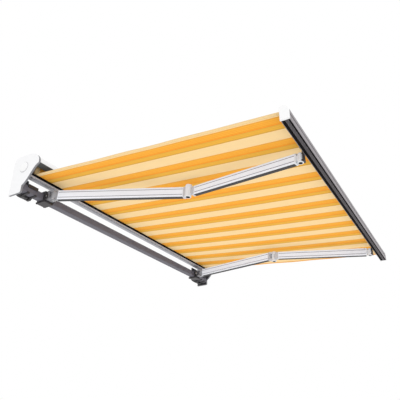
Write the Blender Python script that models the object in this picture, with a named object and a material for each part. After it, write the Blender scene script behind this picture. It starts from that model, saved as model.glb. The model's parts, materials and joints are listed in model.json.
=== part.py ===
"""Folding-arm awning, part extended: square support bar, half cassette, cloth, two arms and front bar.

Metres, +Z up. The wall is the plane y = 0 and the awning runs out towards -Y.
The origin is on the wall, midway along the width, level with the support bar's centre line.
"""

import math

import bmesh
import bpy
from mathutils import Matrix, Vector
from mathutils.geometry import tessellate_polygon

# Fits
GAP = 0.0003
PIN_CLEARANCE = 0.0004

# Cloth
CLOTH_WIDTH = 1.86
CLOTH_THICKNESS = 0.0012

# Support bar
BAR_SIZE = 0.040
BAR_WALL = 0.0025
BAR_STANDOFF = 0.0534
BAR_PLUG = 0.030

# Roller with its motor
ROLLER_Y = -0.085
ROLLER_Z = 0.126
TUBE_RADIUS = 0.0315
TUBE_WALL = 0.0016
ROLL_THICKNESS = 0.0029
TUBE_END_GAP = 0.007
MOTOR_RADIUS = 0.0225
MOTOR_LENGTH = 0.460
MOTOR_SHAFT_RADIUS = 0.008
MOTOR_SHAFT_LENGTH = 0.030
MOTOR_HEAD_RADIUS = 0.034
MOTOR_STUB_RADIUS = 0.014
IDLER_PIN_RADIUS = 0.006
IDLER_LENGTH = 0.040
CROWN_WIDTH = 0.020
DRIVE_WHEEL_WIDTH = 0.022
BEARING_RADIUS = 0.014

# Half cassette: hood above, lower profile below
PROFILE_OVERHANG = 0.015
SHEET = 0.0022
HOOD_BACK_Y = -0.020
HOOD_BACK_FOOT_Z = 0.112
HOOD_TOP_Z = 0.183
HOOD_BACK_RADIUS = 0.022
HOOD_CREST_Y = -0.100
HOOD_LIP_Y = -0.195
HOOD_LIP_Z = 0.121
HOOD_RETURN = 0.046
HOOD_RETURN_DROP = 0.004
SHELL_RADIUS = 0.0545
SHELL_REAR_ANGLE = math.radians(-3.0)
SHELL_FRONT_ANGLE = math.radians(-97.0)
SHELL_LIP_Y = -0.119
SHELL_LIP_Z = 0.0640
SHELL_LIP_RISE = 0.006
SEAL_THICKNESS = 0.003
SEAL_CLOTH_GAP = 0.0020

# End brackets and covers
END_BRACKET_THICKNESS = 0.010
COVER_DEPTH = 0.0394
COVER_WALL = 0.003
COVER_BACK_Y = -0.004
COVER_BOTTOM_Z = -0.040
COVER_TOP_MARGIN = 0.005
COVER_CORNER = 0.010
COVER_FRONT_MARGIN = 0.0012
COVER_NOSE_DROP = 0.010
DISC_RADIUS = 0.025
DISC_THICKNESS = 0.0035
COVER_SCREW_RADIUS = 0.0025

# Wall brackets
WALL_BRACKET_INSET = 0.021
WALL_BRACKET_WIDTH = 0.064
WALL_PLATE = 0.008
WALL_PLATE_TOP_Z = 0.098
WALL_PLATE_BOTTOM_Z = -0.012
HOOK_THICKNESS = 0.008
HOOK_LIP = 0.0057
HOOK_LIP_LENGTH = 0.010
WALL_HOLE_RADIUS = 0.0055
WALL_HOLE_OFFSET = 0.019
CLAMP_BOLT_RADIUS = 0.004
CLAMP_BOLT_DEPTH = 0.022

# Arm brackets on the bar
SHOULDER_INSET = 0.128
SHOULDER_Y = -0.140
SHOULDER_Z = 0.006
CHEEK_INNER = 0.0223
CHEEK_THICKNESS = 0.008
CHEEK_CLEARANCE = 0.0025
CHEEK_ROOT = 0.002
ARM_BRACKET_PLATE = 0.014
ARM_BRACKET_MARGIN = 0.0125
STRAP_THICKNESS = 0.008
CRADLE_WEB = 0.012
CRADLE_EAR = 0.009
CRADLE_EAR_RADIUS = 0.017
CRADLE_TILT_ROOM = 0.0023
SHOULDER_KNUCKLE_HEIGHT = 0.034
SHOULDER_PIN_RADIUS = 0.007
PITCH_BOLT_RADIUS = 0.005
PITCH_BOLT_SET_BACK = 0.0015
ARM_BOLT_RADIUS = 0.0040

# Arms
ARM_PITCH = math.radians(4.9)
REST_SHOULDER_ANGLE = math.radians(17.4)
UPPER_LENGTH = 0.772
UPPER_WIDTH = 0.030
UPPER_HEIGHT = 0.056
FORE_LENGTH = 0.635
FORE_WIDTH = 0.026
FORE_HEIGHT = 0.051
ARM_WALL = 0.0022
ARM_CORNER = 0.005
FOLD_GAP = 0.007
GROOVE_DEPTH = 0.0011
GROOVE_WIDTH = 0.0034
GROOVE_INSET = 0.0128
SPIGOT_LENGTH = 0.030
UPPER_START = 0.032
UPPER_END = 0.030
UPPER_COLLAR = 0.010
FORE_START = 0.034
FORE_END = 0.022
HAND_COLLAR = 0.006
ELBOW_KNUCKLE_HEIGHT = 0.033
ELBOW_KNUCKLE_RADIUS = 0.0155
ELBOW_EAR = 0.0135
ELBOW_EAR_RADIUS = 0.016
ELBOW_EAR_REACH = 0.019
ELBOW_PIN_RADIUS = 0.006
ELBOW_NECK = 0.022
HAND_KNUCKLE_HEIGHT = 0.026
HAND_KNUCKLE_RADIUS = 0.0105
HAND_PIN_RADIUS = 0.005
SPRING_WIRE = 0.0030
SPRING_TURNS = 11
SPRING_STEPS = 6
SPRING_SIDES = 4
SPRING_LENGTH = 0.200

# Front bar
FRONT_CLEARANCE = 0.0041
FRONT_DEPTH = 0.0375
FRONT_HEIGHT = 0.063
FRONT_NOSE_RADIUS = 0.020
FRONT_WALL = 0.002
FRONT_OVERHANG = 0.002
HAND_DROP = 0.0178
CHANNEL_WIDTH = 0.0135
CHANNEL_DEPTH = 0.009
UNDER_BAND = 0.013
DRIP_WIDTH = 0.007
DRIP_DEPTH = 0.012
SLOT_MOUTH = 0.0090
SLOT_INNER = 0.015
SLOT_DEPTH = 0.007
SLOT_LEVEL = 0.026
WELT_RADIUS = 0.0036
WELT_INSET = 0.0062
WELT_LEVEL = 0.0463
WELT_MOUTH = 0.0032
FACE_GROOVE_LEVEL = 0.022
FACE_GROOVE_WIDTH = 0.002
FRONT_CAP_THICKNESS = 0.009
FRONT_CAP_RIM = 0.0012
HAND_PLATE = 0.0045
HAND_BRACKET_WIDTH = 0.050
HAND_EAR = 0.006
HAND_TONGUE = 0.0135
HAND_FORK_ROOM = 0.0035
HAND_BOLT_RADIUS = 0.004

# Round pieces
SEGMENTS = 24
TUBE_SEGMENTS = 28
PIN_SEGMENTS = 16
BOLT_SEGMENTS = 8
CUTTER_REACH = 0.05

COLOURS = {
    "white": ((0.86, 0.86, 0.85, 1.0), 0.38, 0.0),
    "silver": ((0.62, 0.62, 0.63, 1.0), 0.34, 0.7),
    "bar_grey": ((0.17, 0.16, 0.17, 1.0), 0.45, 0.3),
    "cast_grey": ((0.28, 0.28, 0.28, 1.0), 0.50, 0.5),
    "dark_grey": ((0.10, 0.095, 0.09, 1.0), 0.50, 0.2),
    "steel": ((0.45, 0.45, 0.46, 1.0), 0.30, 1.0),
    "black": ((0.015, 0.015, 0.015, 1.0), 0.70, 0.0),
    "cloth": ((0.96, 0.62, 0.22, 1.0), 0.85, 0.0),
    "zinc": ((0.50, 0.50, 0.50, 1.0), 0.40, 0.9),
}


def clear_scene():
    """Remove every object, so the model stands alone."""
    for old in list(bpy.data.objects):
        bpy.data.objects.remove(old, do_unlink=True)


def material_for(name, colour):
    """A Principled material of the piece's own, in one of the named finishes."""
    value, roughness, metallic = COLOURS[colour]
    material = bpy.data.materials.new(name)
    material.use_nodes = True
    shader = material.node_tree.nodes["Principled BSDF"]
    shader.inputs["Base Color"].default_value = value
    shader.inputs["Roughness"].default_value = roughness
    shader.inputs["Metallic"].default_value = metallic
    material.diffuse_color = value
    return material


def add_object(name, bm, colour, parent=None, matrix=None, smooth=None):
    """Turn a bmesh into a named object, with its faces pointing out."""
    bmesh.ops.remove_doubles(bm, verts=bm.verts, dist=1e-6)
    bmesh.ops.recalc_face_normals(bm, faces=bm.faces)
    mesh = bpy.data.meshes.new(name)
    bm.to_mesh(mesh)
    bm.free()
    if smooth:
        mesh.shade_smooth()
        mesh.set_sharp_from_angle(angle=math.radians(smooth))
    obj = bpy.data.objects.new(name, mesh)
    bpy.context.scene.collection.objects.link(obj)
    obj.data.materials.append(material_for(name, colour))
    if parent is not None:
        obj.parent = parent
    if matrix is not None:
        obj.matrix_local = matrix
    return obj


def add_empty(name, matrix, parent=None):
    """An empty that stands on a joint's axis and carries the pieces of one moving body."""
    empty = bpy.data.objects.new(name, None)
    empty.empty_display_size = 0.05
    bpy.context.scene.collection.objects.link(empty)
    if parent is not None:
        empty.parent = parent
    empty.matrix_local = matrix
    return empty


def arc(centre, radius, start, end, steps):
    """Points of a circular arc, start and end included, angles in radians."""
    points = []
    for i in range(steps + 1):
        angle = start + (end - start) * i / steps
        points.append((centre[0] + radius * math.cos(angle), centre[1] + radius * math.sin(angle)))
    return points


def circle(centre, radius, segments=SEGMENTS):
    """A full circle as a list of points."""
    return arc(centre, radius, 0.0, 2.0 * math.pi, segments)[:-1]


def rectangle(a0, b0, a1, b1):
    """A rectangle from its two corners."""
    return [(a0, b0), (a1, b0), (a1, b1), (a0, b1)]


def rounded_rectangle(a0, b0, a1, b1, radius, steps=3):
    """A rectangle with round corners, running the positive way round."""
    quarter = math.pi / 2.0
    points = []
    points += arc((a1 - radius, b1 - radius), radius, 0.0, quarter, steps)
    points += arc((a0 + radius, b1 - radius), radius, quarter, 2.0 * quarter, steps)
    points += arc((a0 + radius, b0 + radius), radius, 2.0 * quarter, 3.0 * quarter, steps)
    points += arc((a1 - radius, b0 + radius), radius, 3.0 * quarter, 4.0 * quarter, steps)
    return points


def offset_line(points, distance, closed):
    """Move an open or closed line sideways by a distance to its left, with mitred corners."""
    count = len(points)
    moved = []
    for i in range(count):
        before = Vector(points[i - 1]) if closed or i > 0 else None
        here = Vector(points[i])
        after = Vector(points[(i + 1) % count]) if closed or i < count - 1 else None
        first = (here - before).normalized() if before is not None else None
        second = (after - here).normalized() if after is not None else None
        first = first or second
        second = second or first
        normal_a = Vector((-first.y, first.x))
        normal_b = Vector((-second.y, second.x))
        mean = (normal_a + normal_b).normalized()
        moved.append(tuple(here + mean * distance / max(mean.dot(normal_a), 0.3)))
    return moved


def ribbon(points, thickness):
    """A thin wall of even thickness along a centre line, as one closed outline."""
    left = offset_line(points, thickness / 2.0, False)
    right = offset_line(points, -thickness / 2.0, False)
    return left + right[::-1]


def bezier(p0, p1, p2, p3, steps):
    """Points of a cubic curve, ends included."""
    points = []
    for i in range(steps + 1):
        t = i / steps
        u = 1.0 - t
        weights = (u ** 3, 3.0 * u * u * t, 3.0 * u * t * t, t ** 3)
        points.append(tuple(sum(w * p[k] for w, p in zip(weights, (p0, p1, p2, p3))) for k in range(2)))
    return points


def swept(a, b, r_a, r_b, steps=8):
    """The outline of a flat link: two round ends joined by their common tangents."""
    centre_a = Vector(a)
    centre_b = Vector(b)
    run = centre_b - centre_a
    heading = math.atan2(run.y, run.x)
    lean = math.acos(max(-1.0, min(1.0, (r_a - r_b) / run.length)))
    points = arc(a, r_a, heading + lean, heading + 2.0 * math.pi - lean, steps)
    points += arc(b, r_b, heading - lean, heading + lean, steps)
    return points


AXES = {
    "x": lambda a, b, c: (c, a, b),
    "y": lambda a, b, c: (a, c, b),
    "z": lambda a, b, c: (a, b, c),
}


def add_prism(bm, outline, start, end, axis, holes=()):
    """Add a straight extrusion of an outline, with through holes, along a main axis."""
    place = AXES[axis]
    loops = [list(outline)] + [list(hole) for hole in holes]
    flat = [point for loop in loops for point in loop]
    low = [bm.verts.new(place(p[0], p[1], start)) for p in flat]
    high = [bm.verts.new(place(p[0], p[1], end)) for p in flat]
    first = 0
    for loop in loops:
        size = len(loop)
        for i in range(size):
            j = (i + 1) % size
            bm.faces.new((low[first + i], low[first + j], high[first + j], high[first + i]))
        first += size
    triangles = tessellate_polygon([[Vector((p[0], p[1], 0.0)) for p in loop] for loop in loops])
    for tri in triangles:
        bm.faces.new([low[i] for i in tri])
        bm.faces.new([high[i] for i in reversed(tri)])


def add_turned(bm, profile, centre, direction, segments=SEGMENTS):
    """Add a turned solid: profile holds (distance along the axis, radius) pairs round a closed section."""
    heading = Vector(direction).normalized()
    turn = heading.to_track_quat("Z", "Y")
    rings = []
    for along, radius in profile:
        if radius < 1e-9:
            rings.append([bm.verts.new(Vector(centre) + turn @ Vector((0.0, 0.0, along)))])
            continue
        ring = []
        for i in range(segments):
            angle = 2.0 * math.pi * i / segments
            local = Vector((radius * math.cos(angle), radius * math.sin(angle), along))
            ring.append(bm.verts.new(Vector(centre) + turn @ local))
        rings.append(ring)
    closed = len(rings[0]) > 1 and len(rings[-1]) > 1
    pairs = list(zip(rings, rings[1:]))
    if closed:
        pairs.append((rings[-1], rings[0]))
    for ring_a, ring_b in pairs:
        for i in range(segments):
            j = (i + 1) % segments
            if len(ring_a) == 1 and len(ring_b) == 1:
                continue
            if len(ring_a) == 1:
                bm.faces.new((ring_a[0], ring_b[j], ring_b[i]))
            elif len(ring_b) == 1:
                bm.faces.new((ring_a[i], ring_a[j], ring_b[0]))
            else:
                bm.faces.new((ring_a[i], ring_a[j], ring_b[j], ring_b[i]))


def add_rod(bm, start, end, radius, segments=SEGMENTS, chamfer=0.0):
    """Add a plain round rod between two points, with chamfered ends where asked."""
    length = (Vector(end) - Vector(start)).length
    profile = [(0.0, 0.0), (0.0, radius - chamfer), (chamfer, radius)]
    profile += [(length - chamfer, radius), (length, radius - chamfer), (length, 0.0)]
    if chamfer == 0.0:
        profile = [(0.0, 0.0), (0.0, radius), (length, radius), (length, 0.0)]
    add_turned(bm, profile, start, Vector(end) - Vector(start), segments)


def add_cap_screw(bm, seat, direction, radius, length):
    """Add a socket head screw: seat is under its head, and the shank runs along direction."""
    head_radius = radius * 1.55
    head = radius * 1.6
    socket_radius = radius * 0.75
    profile = [
        (length, 0.0), (length, radius * 0.8), (length - radius * 0.3, radius), (0.0, radius),
        (0.0, head_radius), (-head * 0.85, head_radius), (-head, head_radius * 0.88),
        (-head, socket_radius), (-head * 0.4, socket_radius), (-head * 0.4, 0.0),
    ]
    add_turned(bm, profile, seat, direction, BOLT_SEGMENTS)


def drill(obj, start, end, radius, segments=PIN_SEGMENTS):
    """Cut a round hole through an object with an exact Boolean."""
    bm = bmesh.new()
    add_rod(bm, start, end, radius, segments)
    cut_with(obj, bm)


def cut_with(obj, bm):
    """Subtract a closed bmesh, given in the object's own coordinates, from an object."""
    bmesh.ops.recalc_face_normals(bm, faces=bm.faces)
    mesh = bpy.data.meshes.new("cutter_" + obj.name)
    bm.to_mesh(mesh)
    bm.free()
    cutter = bpy.data.objects.new("cutter_" + obj.name, mesh)
    bpy.context.scene.collection.objects.link(cutter)
    cutter.parent = obj
    cutter.hide_render = True
    cutter.display_type = "WIRE"
    cut = obj.modifiers.new("cut", "BOOLEAN")
    cut.operation = "DIFFERENCE"
    cut.solver = "EXACT"
    cut.object = cutter


def weld_to(obj, bm):
    """Unite a closed bmesh, given in the object's own coordinates, with an object."""
    bmesh.ops.recalc_face_normals(bm, faces=bm.faces)
    mesh = bpy.data.meshes.new("addition_" + obj.name)
    bm.to_mesh(mesh)
    bm.free()
    addition = bpy.data.objects.new("addition_" + obj.name, mesh)
    bpy.context.scene.collection.objects.link(addition)
    addition.parent = obj
    addition.hide_render = True
    addition.display_type = "WIRE"
    weld = obj.modifiers.new("weld", "BOOLEAN")
    weld.operation = "UNION"
    weld.solver = "EXACT"
    weld.object = addition


# Places that follow from the driving sizes
PROFILE_HALF = CLOTH_WIDTH / 2.0 + PROFILE_OVERHANG
SHOULDER_X = CLOTH_WIDTH / 2.0 - SHOULDER_INSET
WALL_BRACKET_X = CLOTH_WIDTH / 2.0 - WALL_BRACKET_INSET
BRACKET_INNER = PROFILE_HALF + GAP
BRACKET_OUTER = BRACKET_INNER + END_BRACKET_THICKNESS
COVER_OUTER = BRACKET_INNER + COVER_DEPTH
BAR_HALF = PROFILE_HALF
BAR_BACK = -BAR_STANDOFF
BAR_FRONT = BAR_BACK - BAR_SIZE
BAR_TOP = BAR_SIZE / 2.0
ROLL_RADIUS = TUBE_RADIUS + GAP + ROLL_THICKNESS
TUBE_HALF = BRACKET_INNER - TUBE_END_GAP
SHEET_RADIUS = ROLL_RADIUS + GAP + CLOTH_THICKNESS / 2.0

ELBOW_UPPER_OFFSET = (UPPER_WIDTH + FOLD_GAP) / 2.0
ELBOW_FORE_OFFSET = (FORE_WIDTH + FOLD_GAP) / 2.0
UPPER_LINK = math.hypot(UPPER_LENGTH, ELBOW_UPPER_OFFSET)
FORE_LINK = math.hypot(FORE_LENGTH, ELBOW_FORE_OFFSET)
UPPER_SKEW = math.atan2(ELBOW_UPPER_OFFSET, UPPER_LENGTH)
FORE_SKEW = math.atan2(ELBOW_FORE_OFFSET, FORE_LENGTH)
HAND_X = SHOULDER_X - UPPER_LENGTH + FORE_LENGTH
ELBOW_X = SHOULDER_X - UPPER_LINK * math.sin(REST_SHOULDER_ANGLE)
REST_FORE_ANGLE = math.asin((HAND_X - ELBOW_X) / FORE_LINK)
ELBOW_RUN = UPPER_LINK * math.cos(REST_SHOULDER_ANGLE)
HAND_RUN = ELBOW_RUN + FORE_LINK * math.cos(REST_FORE_ANGLE)
HAND_Y = SHOULDER_Y - HAND_RUN * math.cos(ARM_PITCH)
HAND_Z = SHOULDER_Z - HAND_RUN * math.sin(ARM_PITCH)
FRONT_REAR_Y = HAND_Y - FORE_WIDTH / 2.0 - FRONT_CLEARANCE
FRONT_BASE_Z = HAND_Z + HAND_DROP
FRONT_HALF = CLOTH_WIDTH / 2.0 + FRONT_OVERHANG
WELT_Y = FRONT_REAR_Y - WELT_INSET
WELT_Z = FRONT_BASE_Z + WELT_LEVEL
CRADLE_BACK = BAR_FRONT - GAP - ARM_BRACKET_PLATE - SHOULDER_Y
PITCH_Y = SHOULDER_Y + CRADLE_BACK - CRADLE_WEB / 2.0 - PITCH_BOLT_SET_BACK


def cloth_line():
    """Where the cloth leaves the roll, and its angle below level: the tangent from slot to roll."""
    run_y = ROLLER_Y - WELT_Y
    drop = ROLLER_Z - WELT_Z
    slope = math.atan2(drop, run_y) - math.asin(SHEET_RADIUS / math.hypot(run_y, drop))
    leave_y = ROLLER_Y + SHEET_RADIUS * math.sin(slope)
    leave_z = ROLLER_Z - SHEET_RADIUS * math.cos(slope)
    return leave_y, leave_z, slope


def cloth_height(y):
    """Height of the cloth's middle surface at a distance from the wall."""
    leave_y, leave_z, slope = cloth_line()
    return leave_z - (leave_y - y) * math.tan(slope)


def hood_line():
    """Centre line of the hood's sheet: rear wall, round shoulder, quarter ellipse down to the lip."""
    half = math.pi / 2.0
    line = [(HOOD_BACK_Y, HOOD_BACK_FOOT_Z)]
    shoulder = (HOOD_BACK_Y - HOOD_BACK_RADIUS, HOOD_TOP_Z - HOOD_BACK_RADIUS)
    line += arc(shoulder, HOOD_BACK_RADIUS, 0.0, half, 5)
    reach = HOOD_CREST_Y - HOOD_LIP_Y
    rise = HOOD_TOP_Z - HOOD_LIP_Z
    for i in range(11):
        angle = half * i / 10.0
        line.append((HOOD_CREST_Y - reach * math.sin(angle), HOOD_LIP_Z + rise * math.cos(angle)))
    line.append((HOOD_LIP_Y + HOOD_RETURN, HOOD_LIP_Z - HOOD_RETURN_DROP))
    return line


def shell_line():
    """Centre line of the lower profile: an arc round the roller that runs out to a front lip."""
    centre = (ROLLER_Y, ROLLER_Z)
    line = arc(centre, SHELL_RADIUS, SHELL_REAR_ANGLE, SHELL_FRONT_ANGLE, 14)
    line.append((SHELL_LIP_Y, SHELL_LIP_Z))
    line.append((SHELL_LIP_Y - SHELL_LIP_RISE / 4.0, SHELL_LIP_Z + SHELL_LIP_RISE))
    return line


def cover_outline(inset):
    """Outline of an end cover: straight back, hood curve above, swept front edge down to the bar."""
    margin = COVER_TOP_MARGIN - inset
    back = COVER_BACK_Y - inset
    bottom = COVER_BOTTOM_Z + inset
    front = BAR_FRONT - COVER_FRONT_MARGIN + inset
    top = HOOD_TOP_Z + margin
    lip_y = HOOD_LIP_Y - margin
    nose_z = HOOD_LIP_Z - COVER_NOSE_DROP + inset * 0.4
    half = math.pi / 2.0
    corner = HOOD_BACK_RADIUS
    line = [(back, bottom)]
    line += arc((back - corner, top - corner), corner, 0.0, half, 5)
    reach = HOOD_CREST_Y - lip_y
    rise = top - HOOD_LIP_Z
    for i in range(9):
        angle = half * i / 8.0
        line.append((HOOD_CREST_Y - reach * math.sin(angle), HOOD_LIP_Z + rise * math.cos(angle)))
    span = front - lip_y
    fall = nose_z - (bottom + COVER_CORNER + BAR_TOP)
    start = (lip_y, nose_z)
    end = (front, nose_z - fall * 0.92)
    lead = (lip_y + span * 0.42, nose_z - fall * 0.12)
    trail = (lip_y + span * 0.52, nose_z - fall * 0.66)
    line += bezier(start, lead, trail, end, 10)
    line += arc((front + COVER_CORNER, bottom + COVER_CORNER), COVER_CORNER, 2.0 * half, 3.0 * half, 4)
    return line


def support_bar():
    """Hollow square tube that carries everything."""
    low = -BAR_TOP
    outer = rounded_rectangle(BAR_FRONT, low, BAR_BACK, BAR_TOP, BAR_WALL, 2)
    bore = rectangle(BAR_FRONT + BAR_WALL, low + BAR_WALL, BAR_BACK - BAR_WALL, BAR_TOP - BAR_WALL)
    bm = bmesh.new()
    add_prism(bm, outer, -BAR_HALF, BAR_HALF, "x", [bore])
    add_object("support_bar", bm, "bar_grey")


def hood_and_shell():
    """The two cassette profiles and the brush that closes the slit under the cloth."""
    bm = bmesh.new()
    add_prism(bm, ribbon(hood_line(), SHEET), -PROFILE_HALF, PROFILE_HALF, "x")
    add_object("hood_profile", bm, "white", smooth=30)
    bm = bmesh.new()
    add_prism(bm, ribbon(shell_line(), SHEET), -PROFILE_HALF, PROFILE_HALF, "x")
    add_object("lower_profile", bm, "silver", smooth=30)
    rear = SHELL_LIP_Y - SHELL_LIP_RISE / 4.0 + SEAL_THICKNESS / 2.0
    foot = SHELL_LIP_Z + SHELL_LIP_RISE + SHEET / 4.0 + GAP
    head = cloth_height(SHELL_LIP_Y) - CLOTH_THICKNESS / 2.0 - SEAL_CLOTH_GAP
    front = rear - SEAL_THICKNESS
    bm = bmesh.new()
    add_prism(bm, [(rear, foot), (rear, head), (front, head), (front, foot)], -PROFILE_HALF, PROFILE_HALF, "x")
    add_object("brush_seal", bm, "black")


def end_bracket(side, name):
    """Cast plate that plugs into the bar's end and carries the roller's end."""
    outline = cover_outline(COVER_WALL + GAP)
    axle = circle((ROLLER_Y, ROLLER_Z), BEARING_RADIUS + GAP)
    bm = bmesh.new()
    start, end = sorted((side * BRACKET_INNER, side * BRACKET_OUTER))
    add_prism(bm, outline, start, end, "x", [axle])
    bracket = add_object("end_bracket_" + name, bm, "cast_grey", smooth=30)
    plug = BAR_WALL + GAP
    section = rectangle(BAR_FRONT + plug, -BAR_TOP + plug, BAR_BACK - plug, BAR_TOP - plug)
    start, end = sorted((side * (BRACKET_INNER - BAR_PLUG), side * (BRACKET_INNER + GAP)))
    tool = bmesh.new()
    add_prism(tool, section, start, end, "x")
    weld_to(bracket, tool)
    for y, z in cover_screw_points():
        tool = bmesh.new()
        seat = (side * (BRACKET_OUTER - GAP), y, z)
        add_cap_screw(tool, seat, (-side, 0.0, 0.0), COVER_SCREW_RADIUS, END_BRACKET_THICKNESS / 2.0)
        weld_to(bracket, tool)


def cover_screw_points():
    """Places of the three screws that hold an end cover to its bracket."""
    behind = (BAR_BACK + COVER_BACK_Y) / 2.0
    return [
        (behind, BAR_TOP * 1.5),
        (behind, ROLLER_Z + BEARING_RADIUS * 2.4),
        (HOOD_CREST_Y - BEARING_RADIUS * 3.4, HOOD_LIP_Z + BEARING_RADIUS),
    ]


def end_cover(side, name):
    """White moulded cover, a dish that closes on the end bracket, and the round cap over the axle."""
    outline = cover_outline(0.0)
    pocket = cover_outline(COVER_WALL)
    inner = BRACKET_INNER
    floor = COVER_OUTER - COVER_WALL
    bm = bmesh.new()
    start, end = sorted((side * inner, side * floor))
    add_prism(bm, outline, start, end, "x", [pocket])
    start, end = sorted((side * floor, side * COVER_OUTER))
    add_prism(bm, outline, start, end, "x")
    close_dish(bm, side * floor)
    add_object("end_cover_" + name, bm, "white", smooth=30)
    bm = bmesh.new()
    base = (side * (COVER_OUTER + GAP), ROLLER_Y, ROLLER_Z)
    rim = DISC_THICKNESS
    chamfer = rim * 0.4
    face = DISC_RADIUS - chamfer
    profile = [(0.0, 0.0), (0.0, DISC_RADIUS), (rim - chamfer, DISC_RADIUS), (rim, face), (rim, 0.0)]
    add_turned(bm, profile, base, (side, 0.0, 0.0), TUBE_SEGMENTS)
    add_object("end_disc_" + name, bm, "white", smooth=30)


def close_dish(bm, level):
    """Join a dish's wall to its floor: drop the rim faces that meet on the joining plane."""
    bmesh.ops.remove_doubles(bm, verts=bm.verts, dist=1e-6)
    doomed = []
    for face in bm.faces:
        if all(abs(v.co.x - level) < 1e-7 for v in face.verts):
            doomed.append(face)
    bmesh.ops.delete(bm, geom=doomed, context="FACES_ONLY")
    edges = [e for e in bm.edges if e.is_boundary]
    bmesh.ops.triangle_fill(bm, use_beauty=False, edges=edges)


def wall_brackets(side, name):
    """Bracket that hooks over the bar from above, and the clamp that closes under it."""
    x0 = side * WALL_BRACKET_X - WALL_BRACKET_WIDTH / 2.0
    x1 = x0 + WALL_BRACKET_WIDTH
    top = BAR_TOP + GAP
    back = BAR_BACK + GAP
    front = BAR_FRONT - GAP
    under = -BAR_TOP - GAP
    shelf = under - HOOK_THICKNESS
    outline = [
        (0.0, WALL_PLATE_BOTTOM_Z), (0.0, WALL_PLATE_TOP_Z), (-WALL_PLATE, WALL_PLATE_TOP_Z),
        (-WALL_PLATE, top + HOOK_THICKNESS * 3.0), (-WALL_PLATE - HOOK_THICKNESS * 2.0, top + HOOK_THICKNESS),
        (front - HOOK_LIP, top + HOOK_THICKNESS), (front - HOOK_LIP, top - HOOK_LIP_LENGTH),
        (front, top - HOOK_LIP_LENGTH), (front, top), (back, top), (back, under),
        (back - BAR_SIZE * 0.45, under), (back - BAR_SIZE * 0.45, shelf), (back + BAR_SIZE * 0.8, shelf),
    ]
    bm = bmesh.new()
    add_prism(bm, outline, x0, x1, "x")
    bracket = add_object("wall_bracket_" + name, bm, "cast_grey")
    hole_z = (WALL_PLATE_TOP_Z + top + HOOK_THICKNESS * 3.0) / 2.0
    for offset in (-WALL_HOLE_OFFSET, WALL_HOLE_OFFSET):
        x = side * WALL_BRACKET_X + offset
        drill(bracket, (x, 0.01, hole_z), (x, -WALL_PLATE - 0.01, hole_z), WALL_HOLE_RADIUS)
    bolt_y = back + BAR_SIZE * 0.3
    low = shelf - GAP - HOOK_THICKNESS * 0.8
    lip = front - HOOK_LIP
    heel = back + BAR_SIZE * 0.55
    step = back - BAR_SIZE * 0.45 - GAP
    clamp = [
        (heel, low), (heel, shelf - GAP), (step, shelf - GAP), (step, under), (front, under),
        (front, under + HOOK_LIP_LENGTH),
        (lip, under + HOOK_LIP_LENGTH), (lip, low + HOOK_LIP / 2.0), (lip + HOOK_LIP / 2.0, low),
    ]
    bm = bmesh.new()
    inset = WALL_BRACKET_WIDTH * 0.12
    add_prism(bm, clamp, x0 + inset, x1 - inset, "x")
    jaw = add_object("wall_clamp_" + name, bm, "cast_grey")
    x = side * WALL_BRACKET_X
    drill(jaw, (x, bolt_y, low - 0.01), (x, bolt_y, shelf + 0.0005), CLAMP_BOLT_RADIUS + GAP)
    drill(bracket, (x, bolt_y, shelf - 0.01), (x, bolt_y, shelf + CLAMP_BOLT_DEPTH), CLAMP_BOLT_RADIUS + GAP)


def clamp_bolt(side, name):
    """The bolt that draws a clamp up against the bar."""
    shelf = -BAR_TOP - GAP - HOOK_THICKNESS
    low = shelf - GAP - HOOK_THICKNESS * 0.8
    bolt_y = BAR_BACK + GAP + BAR_SIZE * 0.3
    seat = (side * WALL_BRACKET_X, bolt_y, low - GAP)
    length = shelf + CLAMP_BOLT_DEPTH - low - GAP
    bm = bmesh.new()
    add_cap_screw(bm, seat, (0.0, 0.0, 1.0), CLAMP_BOLT_RADIUS, length)
    add_object("clamp_bolt_" + name, bm, "zinc", smooth=30)


def arm_bolt_places():
    """Offsets of the four clamping bolts of an arm bracket, across the bar and above or below it."""
    across = CHEEK_INNER + CHEEK_THICKNESS * 0.5
    level = BAR_TOP + ARM_BRACKET_MARGIN / 2.0
    return [(across, level), (-across, level), (across, -level), (-across, -level)]


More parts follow.
